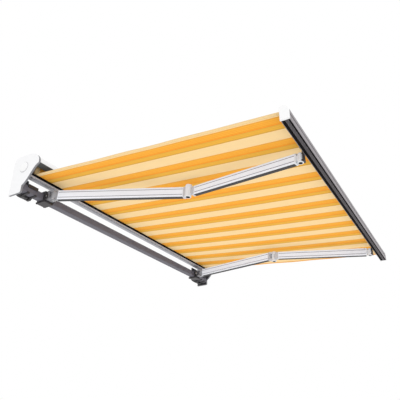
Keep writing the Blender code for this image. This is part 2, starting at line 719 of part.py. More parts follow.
def arm_bracket(side, name):
    """Casting clamped round the bar: front plate with two cheeks, and a strap plate behind."""
    half = CHEEK_INNER + CHEEK_THICKNESS
    centre = side * SHOULDER_X
    top = BAR_TOP + ARM_BRACKET_MARGIN
    face = BAR_FRONT - GAP - ARM_BRACKET_PLATE
    nose = SHOULDER_Y + UPPER_WIDTH / 2.0 + CHEEK_CLEARANCE
    rear = BAR_BACK + GAP
    plate = [
        (rear, top), (face, top), (face, -top), (rear, -top), (rear, -BAR_TOP - GAP),
        (BAR_FRONT - GAP, -BAR_TOP - GAP), (BAR_FRONT - GAP, BAR_TOP + GAP), (rear, BAR_TOP + GAP),
    ]
    bm = bmesh.new()
    add_prism(bm, plate, centre - half, centre + half, "x")
    bracket = add_object("arm_bracket_" + name, bm, "cast_grey", smooth=30)
    cheek = [
        (face + CHEEK_ROOT, top * 0.8), (face, top * 0.8),
        (nose, PITCH_BOLT_RADIUS * 2.6), (nose, -PITCH_BOLT_RADIUS * 2.6),
        (face, -top * 0.8), (face + CHEEK_ROOT, -top * 0.8),
    ]
    for sign in (-1.0, 1.0):
        x0, x1 = sorted((centre + sign * CHEEK_INNER, centre + sign * half))
        tool = bmesh.new()
        add_prism(tool, cheek, x0 + GAP, x1 - GAP, "x")
        weld_to(bracket, tool)
    drill(bracket, (centre - CUTTER_REACH, PITCH_Y, 0.0), (centre + CUTTER_REACH, PITCH_Y, 0.0),
          PITCH_BOLT_RADIUS + GAP)
    for across, level in arm_bolt_places():
        x = centre + across
        bore = ARM_BOLT_RADIUS + GAP
        drill(bracket, (x, face - CUTTER_REACH, level), (x, rear + CUTTER_REACH, level), bore, SEGMENTS // 2)
    strap = rectangle(BAR_BACK + GAP * 2.0, -top, BAR_BACK + STRAP_THICKNESS, top)
    bm = bmesh.new()
    add_prism(bm, strap, centre - half, centre + half, "x")
    plate = add_object("arm_strap_" + name, bm, "cast_grey", smooth=30)
    for across, level in arm_bolt_places():
        seat = (centre + across, BAR_BACK + STRAP_THICKNESS - GAP, level)
        tool = bmesh.new()
        add_cap_screw(tool, seat, (0.0, -1.0, 0.0), ARM_BOLT_RADIUS, seat[1] - face - ARM_BOLT_RADIUS)
        weld_to(plate, tool)


def pitch_bolt(side, name):
    """The bolt across the cheeks that the cradle tilts on and is locked by."""
    half = CHEEK_INNER + CHEEK_THICKNESS
    seat = (side * (SHOULDER_X - half - GAP), PITCH_Y, 0.0)
    bm = bmesh.new()
    add_cap_screw(bm, seat, (side, 0.0, 0.0), PITCH_BOLT_RADIUS, 2.0 * half + 2.0 * GAP)
    add_object("pitch_bolt_" + name, bm, "zinc", smooth=30)


def shoulder_cradle(side, name):
    """Fork between the cheeks: a web on the pitch bolt, and two ears that hold the shoulder pin."""
    frame = Matrix.Translation((side * SHOULDER_X, SHOULDER_Y, SHOULDER_Z)) @ Matrix.Rotation(ARM_PITCH, 4, "X")
    half = CHEEK_INNER - GAP
    back = CRADLE_BACK - GAP - CRADLE_TILT_ROOM
    inner = SHOULDER_KNUCKLE_HEIGHT / 2.0 + GAP
    outer = inner + CRADLE_EAR
    web = rectangle(-half, back - CRADLE_WEB, half, back)
    bm = bmesh.new()
    add_prism(bm, web, -outer, outer, "z")
    cradle = add_object("shoulder_cradle_" + name, bm, "cast_grey", matrix=frame, smooth=30)
    root = back - CRADLE_WEB / 2.0
    ear = arc((0.0, 0.0), CRADLE_EAR_RADIUS, -math.pi, 0.0, 12)
    ear += [(half - GAP, root), (-half + GAP, root)]
    for low, high in ((inner, outer - GAP), (-outer + GAP, -inner)):
        tool = bmesh.new()
        add_prism(tool, ear, low, high, "z")
        weld_to(cradle, tool)
    drill(cradle, (0.0, 0.0, -outer - 0.01), (0.0, 0.0, outer + 0.01), SHOULDER_PIN_RADIUS + GAP)
    here = frame.inverted() @ Vector((side * SHOULDER_X, PITCH_Y, 0.0))
    drill(cradle, (-half - 0.01, here.y, here.z), (half + 0.01, here.y, here.z), PITCH_BOLT_RADIUS + GAP)


def shoulder_pin(side, name):
    """The pin the arm swings on, with a head above the cradle and a collar below."""
    reach = SHOULDER_KNUCKLE_HEIGHT / 2.0 + CRADLE_EAR + 2.0 * GAP
    head = SHOULDER_PIN_RADIUS * 0.4
    rim = SHOULDER_PIN_RADIUS * 1.35
    tilt = Matrix.Rotation(ARM_PITCH, 4, "X")
    up = tilt @ Vector((0.0, 0.0, 1.0))
    centre = Vector((side * SHOULDER_X, SHOULDER_Y, SHOULDER_Z))
    profile = [
        (-reach - head, 0.0), (-reach - head, rim * 0.9), (-reach - head * 0.4, rim), (-reach, rim),
        (-reach, SHOULDER_PIN_RADIUS), (reach, SHOULDER_PIN_RADIUS), (reach, rim), (reach + head * 0.6, rim),
        (reach + head, rim * 0.8), (reach + head, 0.0),
    ]
    bm = bmesh.new()
    add_turned(bm, profile, centre, up, PIN_SEGMENTS)
    add_object("shoulder_pin_" + name, bm, "steel", smooth=30)


def roller_body(parent):
    """Everything that turns: tube, wound cloth, motor crown and drive wheel, idler plug."""
    bm = bmesh.new()
    bore = TUBE_RADIUS - TUBE_WALL
    add_turned(bm, [(-TUBE_HALF, bore), (-TUBE_HALF, TUBE_RADIUS), (TUBE_HALF, TUBE_RADIUS), (TUBE_HALF, bore)],
               (0.0, 0.0, 0.0), (1.0, 0.0, 0.0), TUBE_SEGMENTS)
    add_object("roller_tube", bm, "zinc", parent, Matrix.Identity(4), smooth=30)
    half = CLOTH_WIDTH / 2.0
    inner = TUBE_RADIUS + GAP
    bm = bmesh.new()
    add_turned(bm, [(-half, inner), (-half, ROLL_RADIUS), (half, ROLL_RADIUS), (half, inner)],
               (0.0, 0.0, 0.0), (1.0, 0.0, 0.0), TUBE_SEGMENTS)
    add_object("fabric_roll", bm, "cloth", parent, Matrix.Identity(4), smooth=30)
    fit = bore - GAP
    bm = bmesh.new()
    crown_bore = MOTOR_RADIUS + PIN_CLEARANCE
    start = -TUBE_HALF
    end = start + CROWN_WIDTH
    add_turned(bm, [(start, crown_bore), (start, fit), (end, fit), (end, crown_bore)],
               (0.0, 0.0, 0.0), (1.0, 0.0, 0.0), SEGMENTS)
    add_object("motor_crown", bm, "black", parent, Matrix.Identity(4), smooth=30)
    start = -BRACKET_INNER + MOTOR_LENGTH + PIN_CLEARANCE
    end = start + DRIVE_WHEEL_WIDTH
    shaft = MOTOR_SHAFT_RADIUS + GAP
    bm = bmesh.new()
    ring = [(start, shaft), (start, fit), (end, fit), (end, shaft)]
    add_turned(bm, ring, (0.0, 0.0, 0.0), (1.0, 0.0, 0.0), SEGMENTS)
    add_object("drive_wheel", bm, "black", parent, Matrix.Identity(4), smooth=30)
    start = TUBE_HALF - IDLER_LENGTH
    end = TUBE_HALF
    tip = BRACKET_OUTER
    bm = bmesh.new()
    collar = IDLER_PIN_RADIUS * 2.0
    collar_end = end + TUBE_END_GAP * 0.6
    plug = [
        (start, 0.0), (start, fit), (end, fit), (end, collar), (collar_end, collar),
        (collar_end, IDLER_PIN_RADIUS), (tip, IDLER_PIN_RADIUS), (tip, 0.0),
    ]
    add_turned(bm, plug, (0.0, 0.0, 0.0), (1.0, 0.0, 0.0), SEGMENTS)
    add_object("idler_plug", bm, "zinc", parent, Matrix.Identity(4), smooth=30)


def motor_and_bearing():
    """Tube motor held at the left end bracket, and the idler's bearing in the right one."""
    axle = (0.0, ROLLER_Y, ROLLER_Z)
    head_end = -TUBE_HALF - GAP * 2.0
    motor_end = -BRACKET_INNER + MOTOR_LENGTH
    shaft_end = motor_end + MOTOR_SHAFT_LENGTH
    bm = bmesh.new()
    add_turned(bm, [(head_end + GAP, 0.0), (head_end + GAP, MOTOR_RADIUS), (motor_end, MOTOR_RADIUS),
                    (motor_end, MOTOR_SHAFT_RADIUS), (shaft_end, MOTOR_SHAFT_RADIUS), (shaft_end, 0.0)],
               axle, (1.0, 0.0, 0.0), SEGMENTS)
    add_object("tube_motor", bm, "black", smooth=30)
    start = -BRACKET_INNER + GAP
    stub = -BRACKET_OUTER
    bm = bmesh.new()
    head = [
        (stub, 0.0), (stub, MOTOR_STUB_RADIUS), (start, MOTOR_STUB_RADIUS), (start, MOTOR_HEAD_RADIUS),
        (head_end, MOTOR_HEAD_RADIUS), (head_end, 0.0),
    ]
    add_turned(bm, head, axle, (1.0, 0.0, 0.0), SEGMENTS)
    add_object("motor_head", bm, "dark_grey", smooth=30)
    inner = IDLER_PIN_RADIUS + PIN_CLEARANCE
    bm = bmesh.new()
    add_turned(bm, [(BRACKET_INNER, inner), (BRACKET_INNER, BEARING_RADIUS), (BRACKET_OUTER, BEARING_RADIUS),
                    (BRACKET_OUTER, inner)], axle, (1.0, 0.0, 0.0), SEGMENTS)
    add_object("idler_bearing", bm, "steel", smooth=30)


def canopy():
    """The cloth: one flat sheet from the roll's underside to the front bar's slot."""
    leave_y, leave_z, slope = cloth_line()
    end_y = WELT_Y + WELT_RADIUS + GAP + 0.0002
    length = (leave_y - end_y) / math.cos(slope)
    frame = Matrix.Translation((0.0, leave_y, leave_z)) @ Matrix.Rotation(slope, 4, "X")
    half_t = CLOTH_THICKNESS / 2.0
    half = CLOTH_WIDTH / 2.0
    bm = bmesh.new()
    add_prism(bm, rectangle(-length, -half_t, 0.0, half_t), -half, half, "x")
    add_object("canopy_fabric", bm, "cloth", matrix=frame)


def arm_section(width, height):
    """Outer and inner outline of an arm profile: round corners and two grooves on each side face."""
    w = width / 2.0
    h = height / 2.0
    r = ARM_CORNER
    quarter = math.pi / 2.0
    g = GROOVE_WIDTH / 2.0
    side = []
    for z in (GROOVE_INSET - h, h - GROOVE_INSET):
        side += [(w, z - g), (w - GROOVE_DEPTH, z - g), (w - GROOVE_DEPTH, z + g), (w, z + g)]
    outer = list(side)
    outer += arc((w - r, h - r), r, 0.0, quarter, 3)
    outer += arc((-w + r, h - r), r, quarter, 2.0 * quarter, 3)
    outer += [(-y, z) for y, z in reversed(side)]
    outer += arc((-w + r, -h + r), r, 2.0 * quarter, 3.0 * quarter, 3)
    outer += arc((w - r, -h + r), r, 3.0 * quarter, 4.0 * quarter, 3)
    inner = rounded_rectangle(-w + ARM_WALL, -h + ARM_WALL, w - ARM_WALL, h - ARM_WALL, r - ARM_WALL, 2)
    return outer, inner


def rod_end(length_from, length_to, width, height, offset):
    """A solid spigot that fills an arm profile's end."""
    bm = bmesh.new()
    w = width / 2.0 - ARM_WALL - GAP
    h = height / 2.0 - ARM_WALL - GAP
    section = rounded_rectangle(offset - w, -h, offset + w, h, ARM_CORNER - ARM_WALL, 2)
    add_prism(bm, section, length_from, length_to, "x")
    return bm


def upper_arm(side, name, parent):
    """Upper arm body: hollow profile, shoulder knuckle, elbow fork with its pin, spring inside."""
    start = UPPER_START
    end = UPPER_LENGTH - UPPER_END
    outer, inner = arm_section(UPPER_WIDTH, UPPER_HEIGHT)
    bm = bmesh.new()
    add_prism(bm, outer, start, end, "x", [inner])
    add_object("upper_arm_" + name, bm, "white", parent, Matrix.Identity(4))
    half_h = UPPER_HEIGHT / 2.0
    half_w = UPPER_WIDTH / 2.0
    knuckle = SHOULDER_KNUCKLE_HEIGHT / 2.0 - GAP
    eye = swept((0.0, 0.0), (start - UPPER_COLLAR, 0.0), CRADLE_EAR_RADIUS - 0.002, half_w * 0.8)
    bm = bmesh.new()
    add_prism(bm, eye, -knuckle, knuckle, "z")
    casting = add_object("shoulder_knuckle_" + name, bm, "cast_grey", parent, Matrix.Identity(4), smooth=30)
    collar = rounded_rectangle(-half_w, -half_h, half_w, half_h, ARM_CORNER, 3)
    tool = bmesh.new()
    add_prism(tool, collar, start - UPPER_COLLAR, start - GAP, "x")
    weld_to(casting, tool)
    weld_to(casting, rod_end(start - 2.0 * GAP, start + SPIGOT_LENGTH, UPPER_WIDTH, UPPER_HEIGHT, 0.0))
    drill(casting, (0.0, 0.0, -CUTTER_REACH), (0.0, 0.0, CUTTER_REACH), SHOULDER_PIN_RADIUS + PIN_CLEARANCE)
    pin_y = side * ELBOW_UPPER_OFFSET
    inner_z = ELBOW_KNUCKLE_HEIGHT / 2.0 + GAP
    outer_z = inner_z + ELBOW_EAR
    web_x = UPPER_LENGTH - ELBOW_EAR_REACH
    bm = bmesh.new()
    add_prism(bm, collar, end + GAP, web_x, "x")
    fork = add_object("elbow_fork_" + name, bm, "cast_grey", parent, Matrix.Identity(4), smooth=30)
    near = side * half_w * 0.8
    far = -side * half_w * 0.8
    root = (end + GAP + web_x) / 2.0
    ear = ear_outline((UPPER_LENGTH, pin_y), ELBOW_EAR_RADIUS, (root, near), (root, far))
    for low, high in ((inner_z, outer_z), (-outer_z, -inner_z)):
        tool = bmesh.new()
        add_prism(tool, ear, low, high, "z")
        weld_to(fork, tool)
    weld_to(fork, rod_end(end - SPIGOT_LENGTH, end + 2.0 * GAP, UPPER_WIDTH, UPPER_HEIGHT, 0.0))
    bore = ELBOW_PIN_RADIUS + GAP
    drill(fork, (UPPER_LENGTH, pin_y, -CUTTER_REACH), (UPPER_LENGTH, pin_y, CUTTER_REACH), bore)
    rim = ELBOW_PIN_RADIUS * 1.6
    head = ELBOW_PIN_RADIUS * 0.4
    top = outer_z + GAP
    bm = bmesh.new()
    add_turned(bm, [(-top - head, 0.0), (-top - head, rim * 0.85), (-top - head * 0.5, rim), (-top, rim),
                    (-top, ELBOW_PIN_RADIUS), (top, ELBOW_PIN_RADIUS), (top, rim), (top + head * 0.5, rim),
                    (top + head, rim * 0.85), (top + head, 0.0)],
               (UPPER_LENGTH, pin_y, 0.0), (0.0, 0.0, 1.0), PIN_SEGMENTS)
    add_object("elbow_pin_" + name, bm, "steel", parent, Matrix.Identity(4), smooth=30)
    spring_radius = half_w - ARM_WALL - GAP - SPRING_WIRE / 2.0
    coil(parent, "arm_spring_" + name, start + SPIGOT_LENGTH + GAP + SPRING_WIRE / 2.0, spring_radius)


def ear_outline(pin, radius, near, far):
    """Outline of a fork's ear: round about the pin, straight back to two points on the web."""
    centre = Vector(pin)
    points = []
    tangents = []
    for target, sign in ((near, 1.0), (far, -1.0)):
        line = Vector(target) - centre
        lean = math.acos(radius / line.length)
        heading = math.atan2(line.y, line.x)
        turn = sign if pin[1] > 0.0 else -sign
        tangents.append(heading - turn * lean)
    start, end = tangents
    if pin[1] > 0.0:
        while end > start:
            end -= 2.0 * math.pi
    else:
        while end < start:
            end += 2.0 * math.pi
    points += arc(pin, radius, start, end, 12)
    points += [far, near]
    return points


def coil(parent, name, start, radius):
    """Tension spring as a coarse helix, with flat ends."""
    steps = SPRING_STEPS * SPRING_TURNS
    pitch = SPRING_LENGTH / SPRING_TURNS
    bm = bmesh.new()
    rings = []
    for i in range(steps + 1):
        turn = 2.0 * math.pi * i / SPRING_STEPS
        centre = Vector((start + pitch * i / SPRING_STEPS, radius * math.cos(turn), radius * math.sin(turn)))
        outward = Vector((0.0, math.cos(turn), math.sin(turn)))
        lead = pitch / (2.0 * math.pi)
        forward = Vector((lead, -radius * math.sin(turn), radius * math.cos(turn))).normalized()
        across = forward.cross(outward)
        ring = []
        for k in range(SPRING_SIDES):
            angle = 2.0 * math.pi * k / SPRING_SIDES
            radial = outward * math.cos(angle) + across * math.sin(angle)
            ring.append(bm.verts.new(centre + radial * SPRING_WIRE / 2.0))
        rings.append(ring)
    for ring_a, ring_b in zip(rings, rings[1:]):
        for k in range(SPRING_SIDES):
            j = (k + 1) % SPRING_SIDES
            bm.faces.new((ring_a[k], ring_a[j], ring_b[j], ring_b[k]))
    bm.faces.new(rings[0])
    bm.faces.new(rings[-1])
    add_object(name, bm, "steel", parent, Matrix.Identity(4))


def forearm(side, name, parent):
    """Forearm body: hollow profile, elbow knuckle and hand knuckle."""
    offset = -side * ELBOW_FORE_OFFSET
    start = FORE_START
    end = FORE_LENGTH - FORE_END
    outer, inner = arm_section(FORE_WIDTH, FORE_HEIGHT)
    shift = [(y + offset, z) for y, z in outer]
    bore = [(y + offset, z) for y, z in inner]
    bm = bmesh.new()
    add_prism(bm, shift, start, end, "x", [bore])
    add_object("forearm_" + name, bm, "white", parent, Matrix.Identity(4))
    half_h = FORE_HEIGHT / 2.0
    half_w = FORE_WIDTH / 2.0
    knuckle = ELBOW_KNUCKLE_HEIGHT / 2.0 - GAP
    neck = ear_outline((0.0, 0.0), ELBOW_KNUCKLE_RADIUS, (ELBOW_NECK + 0.002, offset + half_w * 0.95),
                       (ELBOW_NECK + 0.002, offset - half_w * 0.95))
    bm = bmesh.new()
    add_prism(bm, neck, -knuckle, knuckle, "z")
    casting = add_object("elbow_knuckle_" + name, bm, "cast_grey", parent, Matrix.Identity(4), smooth=30)
    collar = rounded_rectangle(offset - half_w, -half_h, offset + half_w, half_h, ARM_CORNER, 3)
    tool = bmesh.new()
    add_prism(tool, collar, ELBOW_NECK, start - GAP, "x")
    weld_to(casting, tool)
    weld_to(casting, rod_end(start - 2.0 * GAP, start + SPIGOT_LENGTH, FORE_WIDTH, FORE_HEIGHT, offset))
    drill(casting, (0.0, 0.0, -CUTTER_REACH), (0.0, 0.0, CUTTER_REACH), ELBOW_PIN_RADIUS + PIN_CLEARANCE)
    hand = (FORE_LENGTH, offset)
    knuckle = HAND_KNUCKLE_HEIGHT / 2.0 - GAP
    eye = swept(hand, (end + HAND_COLLAR, offset), HAND_KNUCKLE_RADIUS, half_w * 0.7)
    bm = bmesh.new()
    add_prism(bm, eye, -knuckle, knuckle, "z")
    casting = add_object("hand_knuckle_" + name, bm, "cast_grey", parent, Matrix.Identity(4), smooth=30)
    tool = bmesh.new()
    add_prism(tool, collar, end + GAP, end + HAND_COLLAR, "x")
    weld_to(casting, tool)
    weld_to(casting, rod_end(end - SPIGOT_LENGTH, end + 2.0 * GAP, FORE_WIDTH, FORE_HEIGHT, offset))
    bore = HAND_PIN_RADIUS + PIN_CLEARANCE
    drill(casting, (hand[0], hand[1], -CUTTER_REACH), (hand[0], hand[1], CUTTER_REACH), bore)


def front_section():
    """Outer outline and chamber of the front bar, as (distance forward, height) pairs."""
    d = FRONT_DEPTH
    w = FRONT_WALL
    r = FRONT_NOSE_RADIUS
    top = FRONT_HEIGHT
    band = w + CHANNEL_WIDTH
    drip = band + UNDER_BAND
    face_low = FACE_GROOVE_LEVEL - FACE_GROOVE_WIDTH / 2.0
    face_high = FACE_GROOVE_LEVEL + FACE_GROOVE_WIDTH / 2.0
    notch = d - GROOVE_DEPTH
    mouth = WELT_MOUTH / 2.0
    bore = WELT_RADIUS + GAP * 2.0
    opening = math.asin(mouth / bore)
    slot_low = SLOT_LEVEL - SLOT_MOUTH / 2.0
    slot_high = SLOT_LEVEL + SLOT_MOUTH / 2.0
    deep_low = SLOT_LEVEL - SLOT_INNER / 2.0
    deep_high = SLOT_LEVEL + SLOT_INNER / 2.0
    outer = [(0.0, 0.0), (w, 0.0), (w, CHANNEL_DEPTH), (band, CHANNEL_DEPTH), (band, 0.0), (drip, 0.0),
             (drip, DRIP_DEPTH), (drip + DRIP_WIDTH, DRIP_DEPTH), (drip + DRIP_WIDTH, 0.0), (d, 0.0),
             (d, face_low), (notch, face_low), (notch, face_high), (d, face_high)]
    outer += arc((d - r, top - r), r, 0.0, math.pi / 2.0, 8)
    outer += [(0.0, top), (0.0, WELT_LEVEL + mouth)]
    outer += arc((WELT_INSET, WELT_LEVEL), bore, math.pi - opening, -math.pi + opening, 12)
    deep = w + SLOT_DEPTH
    outer += [
        (0.0, WELT_LEVEL - mouth), (0.0, slot_high), (w, slot_high), (w, deep_high), (deep, deep_high),
        (deep, deep_low), (w, deep_low), (w, slot_low), (0.0, slot_low),
    ]
    wall_x = max(WELT_INSET + bore, w + SLOT_DEPTH) + w
    ledge = CHANNEL_DEPTH + w
    chamber = [(band + w, w), (drip - w, w), (drip - w, DRIP_DEPTH + w), (d - w, DRIP_DEPTH + w)]
    chamber += arc((d - r, top - r), r - w, 0.0, math.pi / 2.0, 6)
    chamber += [(w, top - w), (w, WELT_LEVEL + bore + w), (wall_x, WELT_LEVEL + bore + w)]
    chamber += [(wall_x, ledge), (band + w, ledge)]
    return outer, chamber


def front_bar(parent):
    """Front bar body: extrusion, end caps, welt in its groove, hand brackets, pins and bolts."""
    outer, chamber = front_section()
    place = [(FRONT_REAR_Y - p, FRONT_BASE_Z + q) for p, q in outer]
    hollow = [(FRONT_REAR_Y - p, FRONT_BASE_Z + q) for p, q in chamber]
    origin = Vector(parent.matrix_world.translation)
    shift = Matrix.Translation(-origin)
    bm = bmesh.new()
    add_prism(bm, place, -FRONT_HALF, FRONT_HALF, "x", [hollow])
    add_object("front_profile", bm, "silver", parent, shift, smooth=30)
    for side, name in ((-1.0, "left"), (1.0, "right")):
        front_cap(side, name, parent, shift)
        hand_bracket(side, name, parent, shift)
    bm = bmesh.new()
    half = CLOTH_WIDTH / 2.0
    add_rod(bm, (-half, WELT_Y, WELT_Z), (half, WELT_Y, WELT_Z), WELT_RADIUS, SEGMENTS // 2)
    add_object("front_welt", bm, "black", parent, shift, smooth=30)
    hand_pin(parent, shift)


def front_cap(side, name, parent, shift):
    """Moulded cap that closes the front bar's end."""
    d = FRONT_DEPTH
    r = FRONT_NOSE_RADIUS
    rim = FRONT_CAP_RIM
    base = [(-rim, -rim), (d + rim, -rim)]
    base += arc((d - r, FRONT_HEIGHT - r), r + rim, 0.0, math.pi / 2.0, 8)
    base += [(-rim, FRONT_HEIGHT + rim)]
    place = [(FRONT_REAR_Y - p, FRONT_BASE_Z + q) for p, q in base]
    inner = FRONT_HALF + GAP
    bm = bmesh.new()
    start, end = sorted((side * inner, side * (inner + FRONT_CAP_THICKNESS)))
    add_prism(bm, place, start, end, "x")
    bmesh.ops.remove_doubles(bm, verts=bm.verts, dist=1e-6)
    bmesh.ops.recalc_face_normals(bm, faces=bm.faces)
    outer_face = side * (inner + FRONT_CAP_THICKNESS)
    edges = []
    for edge in bm.edges:
        on_face = all(abs(v.co.x - outer_face) < 1e-6 for v in edge.verts)
        if on_face and any(abs(f.normal.x) < 0.5 for f in edge.link_faces):
            edges.append(edge)
    bmesh.ops.bevel(bm, geom=edges, offset=FRONT_CAP_THICKNESS * 0.2, segments=2, affect="EDGES", profile=0.5)
    add_object("front_cap_" + name, bm, "white", parent, shift, smooth=30)


def hand_bracket(side, name, parent, shift):
    """Plate bolted on the front bar's rear face, with two ears for the hand pin."""
    frame = Matrix.Translation((side * HAND_X, HAND_Y, HAND_Z)) @ Matrix.Rotation(ARM_PITCH, 4, "X")
    inner = HAND_KNUCKLE_HEIGHT / 2.0 + GAP
    outer = inner + HAND_EAR
    half = HAND_BRACKET_WIDTH / 2.0
    plate_front = FRONT_REAR_Y + GAP
    top = FRONT_BASE_Z + SLOT_LEVEL + SLOT_INNER * 0.75
    bottom = HAND_Z - outer - HAND_EAR * 0.4
    bm = bmesh.new()
    waist = HAND_Z + FORE_HEIGHT / 2.0 + HAND_FORK_ROOM
    cheek = waist + HAND_PLATE
    tee = [
        (-HAND_TONGUE, bottom), (HAND_TONGUE, bottom), (HAND_TONGUE, waist), (half, cheek),
        (half, top), (-half, top), (-half, cheek), (-HAND_TONGUE, waist),
    ]
    tee = [(side * HAND_X + x, z) for x, z in tee]
    add_prism(bm, tee, plate_front, plate_front + HAND_PLATE, "y")
    bracket = add_object("hand_bracket_" + name, bm, "cast_grey", parent, shift, smooth=30)
    root = plate_front + HAND_PLATE * 0.6 - HAND_Y
    ear = arc((0.0, 0.0), HAND_KNUCKLE_RADIUS, 0.0, math.pi, 10)
    ear += [(-HAND_TONGUE + GAP, root), (HAND_TONGUE - GAP, root)]
    for low, high in ((inner, outer), (-outer, -inner)):
        tool = bmesh.new()
        add_prism(tool, ear, low, high, "z")
        bmesh.ops.transform(tool, matrix=frame, verts=tool.verts)
        weld_to(bracket, tool)
    up = frame.to_3x3() @ Vector((0.0, 0.0, 1.0))
    pin = Vector((side * HAND_X, HAND_Y, HAND_Z))
    if side < 0.0:
        drill(bracket, pin - up * CUTTER_REACH, pin + up * CUTTER_REACH, HAND_PIN_RADIUS + GAP)
    else:
        for sign in (-1.0, 1.0):
            tool = bmesh.new()
            head = HAND_PIN_RADIUS * 0.5
            rim = HAND_PIN_RADIUS * 1.4
            stub = [(outer - GAP, 0.0), (outer - GAP, rim), (outer + head, rim), (outer + head, 0.0)]
            add_turned(tool, stub, pin, up * sign, PIN_SEGMENTS)
            weld_to(bracket, tool)
    bolt_z = FRONT_BASE_Z + SLOT_LEVEL
    seat_y = plate_front + HAND_PLATE - GAP
    length = seat_y - FRONT_REAR_Y + FRONT_WALL + SLOT_DEPTH * 0.7
    for sign in (-1.0, 1.0):
        x = side * HAND_X + sign * half * 0.72
        tool = bmesh.new()
        add_cap_screw(tool, (x, seat_y, bolt_z), (0.0, -1.0, 0.0), HAND_BOLT_RADIUS, length)
        weld_to(bracket, tool)


def hand_pin(parent, shift):
    """The pin through the left hand bracket and the left arm's hand knuckle."""
    tilt = Matrix.Rotation(ARM_PITCH, 4, "X")
    up = tilt @ Vector((0.0, 0.0, 1.0))
    reach = HAND_KNUCKLE_HEIGHT / 2.0 + HAND_EAR + 2.0 * GAP
    head = HAND_PIN_RADIUS * 0.5
    rim = HAND_PIN_RADIUS * 1.4
    r = HAND_PIN_RADIUS
    bm = bmesh.new()
    whole = [(-reach - head, 0.0), (-reach - head, rim), (-reach, rim), (-reach, r), (reach, r), (reach, rim),
             (reach + head, rim), (reach + head, 0.0)]
    add_turned(bm, whole, (-HAND_X, HAND_Y, HAND_Z), up, PIN_SEGMENTS)
    add_object("hand_pin_left", bm, "steel", parent, shift, smooth=30)


def arm(side, name):
    """One folding arm: empties on the shoulder and elbow axes carry its two bodies."""
    upper_turn = REST_SHOULDER_ANGLE + UPPER_SKEW
    fore_turn = REST_FORE_ANGLE + FORE_SKEW
    tilt = Matrix.Rotation(ARM_PITCH, 4, "X")
    heading = -math.pi / 2.0 - side * upper_turn
    pin = Matrix.Translation((side * SHOULDER_X, SHOULDER_Y, SHOULDER_Z))
    shoulder = pin @ tilt @ Matrix.Rotation(heading, 4, "Z")
    upper = add_empty("shoulder_axis_" + name, shoulder)
    elbow = Vector((side * ELBOW_X, SHOULDER_Y - ELBOW_RUN * math.cos(ARM_PITCH),
                    SHOULDER_Z - ELBOW_RUN * math.sin(ARM_PITCH)))
    heading = -math.pi / 2.0 + side * fore_turn
    fore = add_empty("elbow_axis_" + name, Matrix.Translation(elbow) @ tilt @ Matrix.Rotation(heading, 4, "Z"))
    upper_arm(side, name, upper)
    forearm(side, name, fore)


def build():
    """Build the whole awning."""
    clear_scene()
    support_bar()
    hood_and_shell()
    for side, name in ((-1.0, "left"), (1.0, "right")):
        end_bracket(side, name)
        end_cover(side, name)
        wall_brackets(side, name)
        arm_bracket(side, name)
        clamp_bolt(side, name)
        pitch_bolt(side, name)
        shoulder_cradle(side, name)
        shoulder_pin(side, name)
        arm(side, name)
    motor_and_bearing()
    roller_body(add_empty("roller_axis", Matrix.Translation((0.0, ROLLER_Y, ROLLER_Z))))
    canopy()
    hand = add_empty("hand_axis", Matrix.Translation((-HAND_X, HAND_Y, HAND_Z)))
    bpy.context.view_layer.update()
    front_bar(hand)


build()
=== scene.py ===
"""Studio view of a folding-arm awning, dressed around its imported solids.

Metres, +Z up. The wall is the plane y = 0, the awning runs out towards -Y, and X is its width.
"""

import json
import logging
import math
from dataclasses import dataclass
from enum import Enum

import bmesh
import bpy
import numpy as np
from mathutils import Matrix, Vector

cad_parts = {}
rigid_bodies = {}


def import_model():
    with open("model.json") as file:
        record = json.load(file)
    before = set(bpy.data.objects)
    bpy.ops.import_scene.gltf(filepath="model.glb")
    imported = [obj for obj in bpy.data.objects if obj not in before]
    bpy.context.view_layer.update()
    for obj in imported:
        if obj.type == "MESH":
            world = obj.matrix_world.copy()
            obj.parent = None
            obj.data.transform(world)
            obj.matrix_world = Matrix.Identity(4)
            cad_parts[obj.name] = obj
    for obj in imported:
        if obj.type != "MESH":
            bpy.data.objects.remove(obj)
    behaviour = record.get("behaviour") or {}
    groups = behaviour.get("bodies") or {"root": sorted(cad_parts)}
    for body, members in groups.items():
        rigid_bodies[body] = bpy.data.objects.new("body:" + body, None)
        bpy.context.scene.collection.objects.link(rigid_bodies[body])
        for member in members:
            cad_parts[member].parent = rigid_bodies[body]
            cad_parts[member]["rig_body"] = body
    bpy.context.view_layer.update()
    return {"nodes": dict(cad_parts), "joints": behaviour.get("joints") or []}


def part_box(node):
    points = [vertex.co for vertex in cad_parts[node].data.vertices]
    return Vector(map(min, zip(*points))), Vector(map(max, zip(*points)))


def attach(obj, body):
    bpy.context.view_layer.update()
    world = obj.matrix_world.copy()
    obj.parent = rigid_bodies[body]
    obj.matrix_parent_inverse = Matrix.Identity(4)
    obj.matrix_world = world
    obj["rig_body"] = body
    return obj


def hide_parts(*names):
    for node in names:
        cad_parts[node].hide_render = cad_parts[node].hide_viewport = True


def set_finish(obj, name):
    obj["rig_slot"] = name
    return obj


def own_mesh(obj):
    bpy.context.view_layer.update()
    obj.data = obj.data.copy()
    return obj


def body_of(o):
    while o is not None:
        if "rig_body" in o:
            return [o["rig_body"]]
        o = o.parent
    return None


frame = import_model()

LOG = logging.getLogger("awning")

Node = bpy.types.Node
Socket = bpy.types.NodeSocket
Tree = bpy.types.NodeTree
Material = bpy.types.Material
Object = bpy.types.Object
Colour = tuple[float, float, float]
Pair = tuple[float, float]

# NEEDLE is the radius at which a turned piece's end closes, CLEARANCE the gap kept to a solid beside a piece.
NEEDLE = 0.0002
CLEARANCE = 0.0003


class Side(Enum):
    """The two ends of the awning, by the sign of X. The arms and end pieces are built once for each."""

    LEFT = -1.0
    RIGHT = 1.0

    @property
    def label(self) -> str:
        """The side's word in node and body names."""
        return self.name.lower()


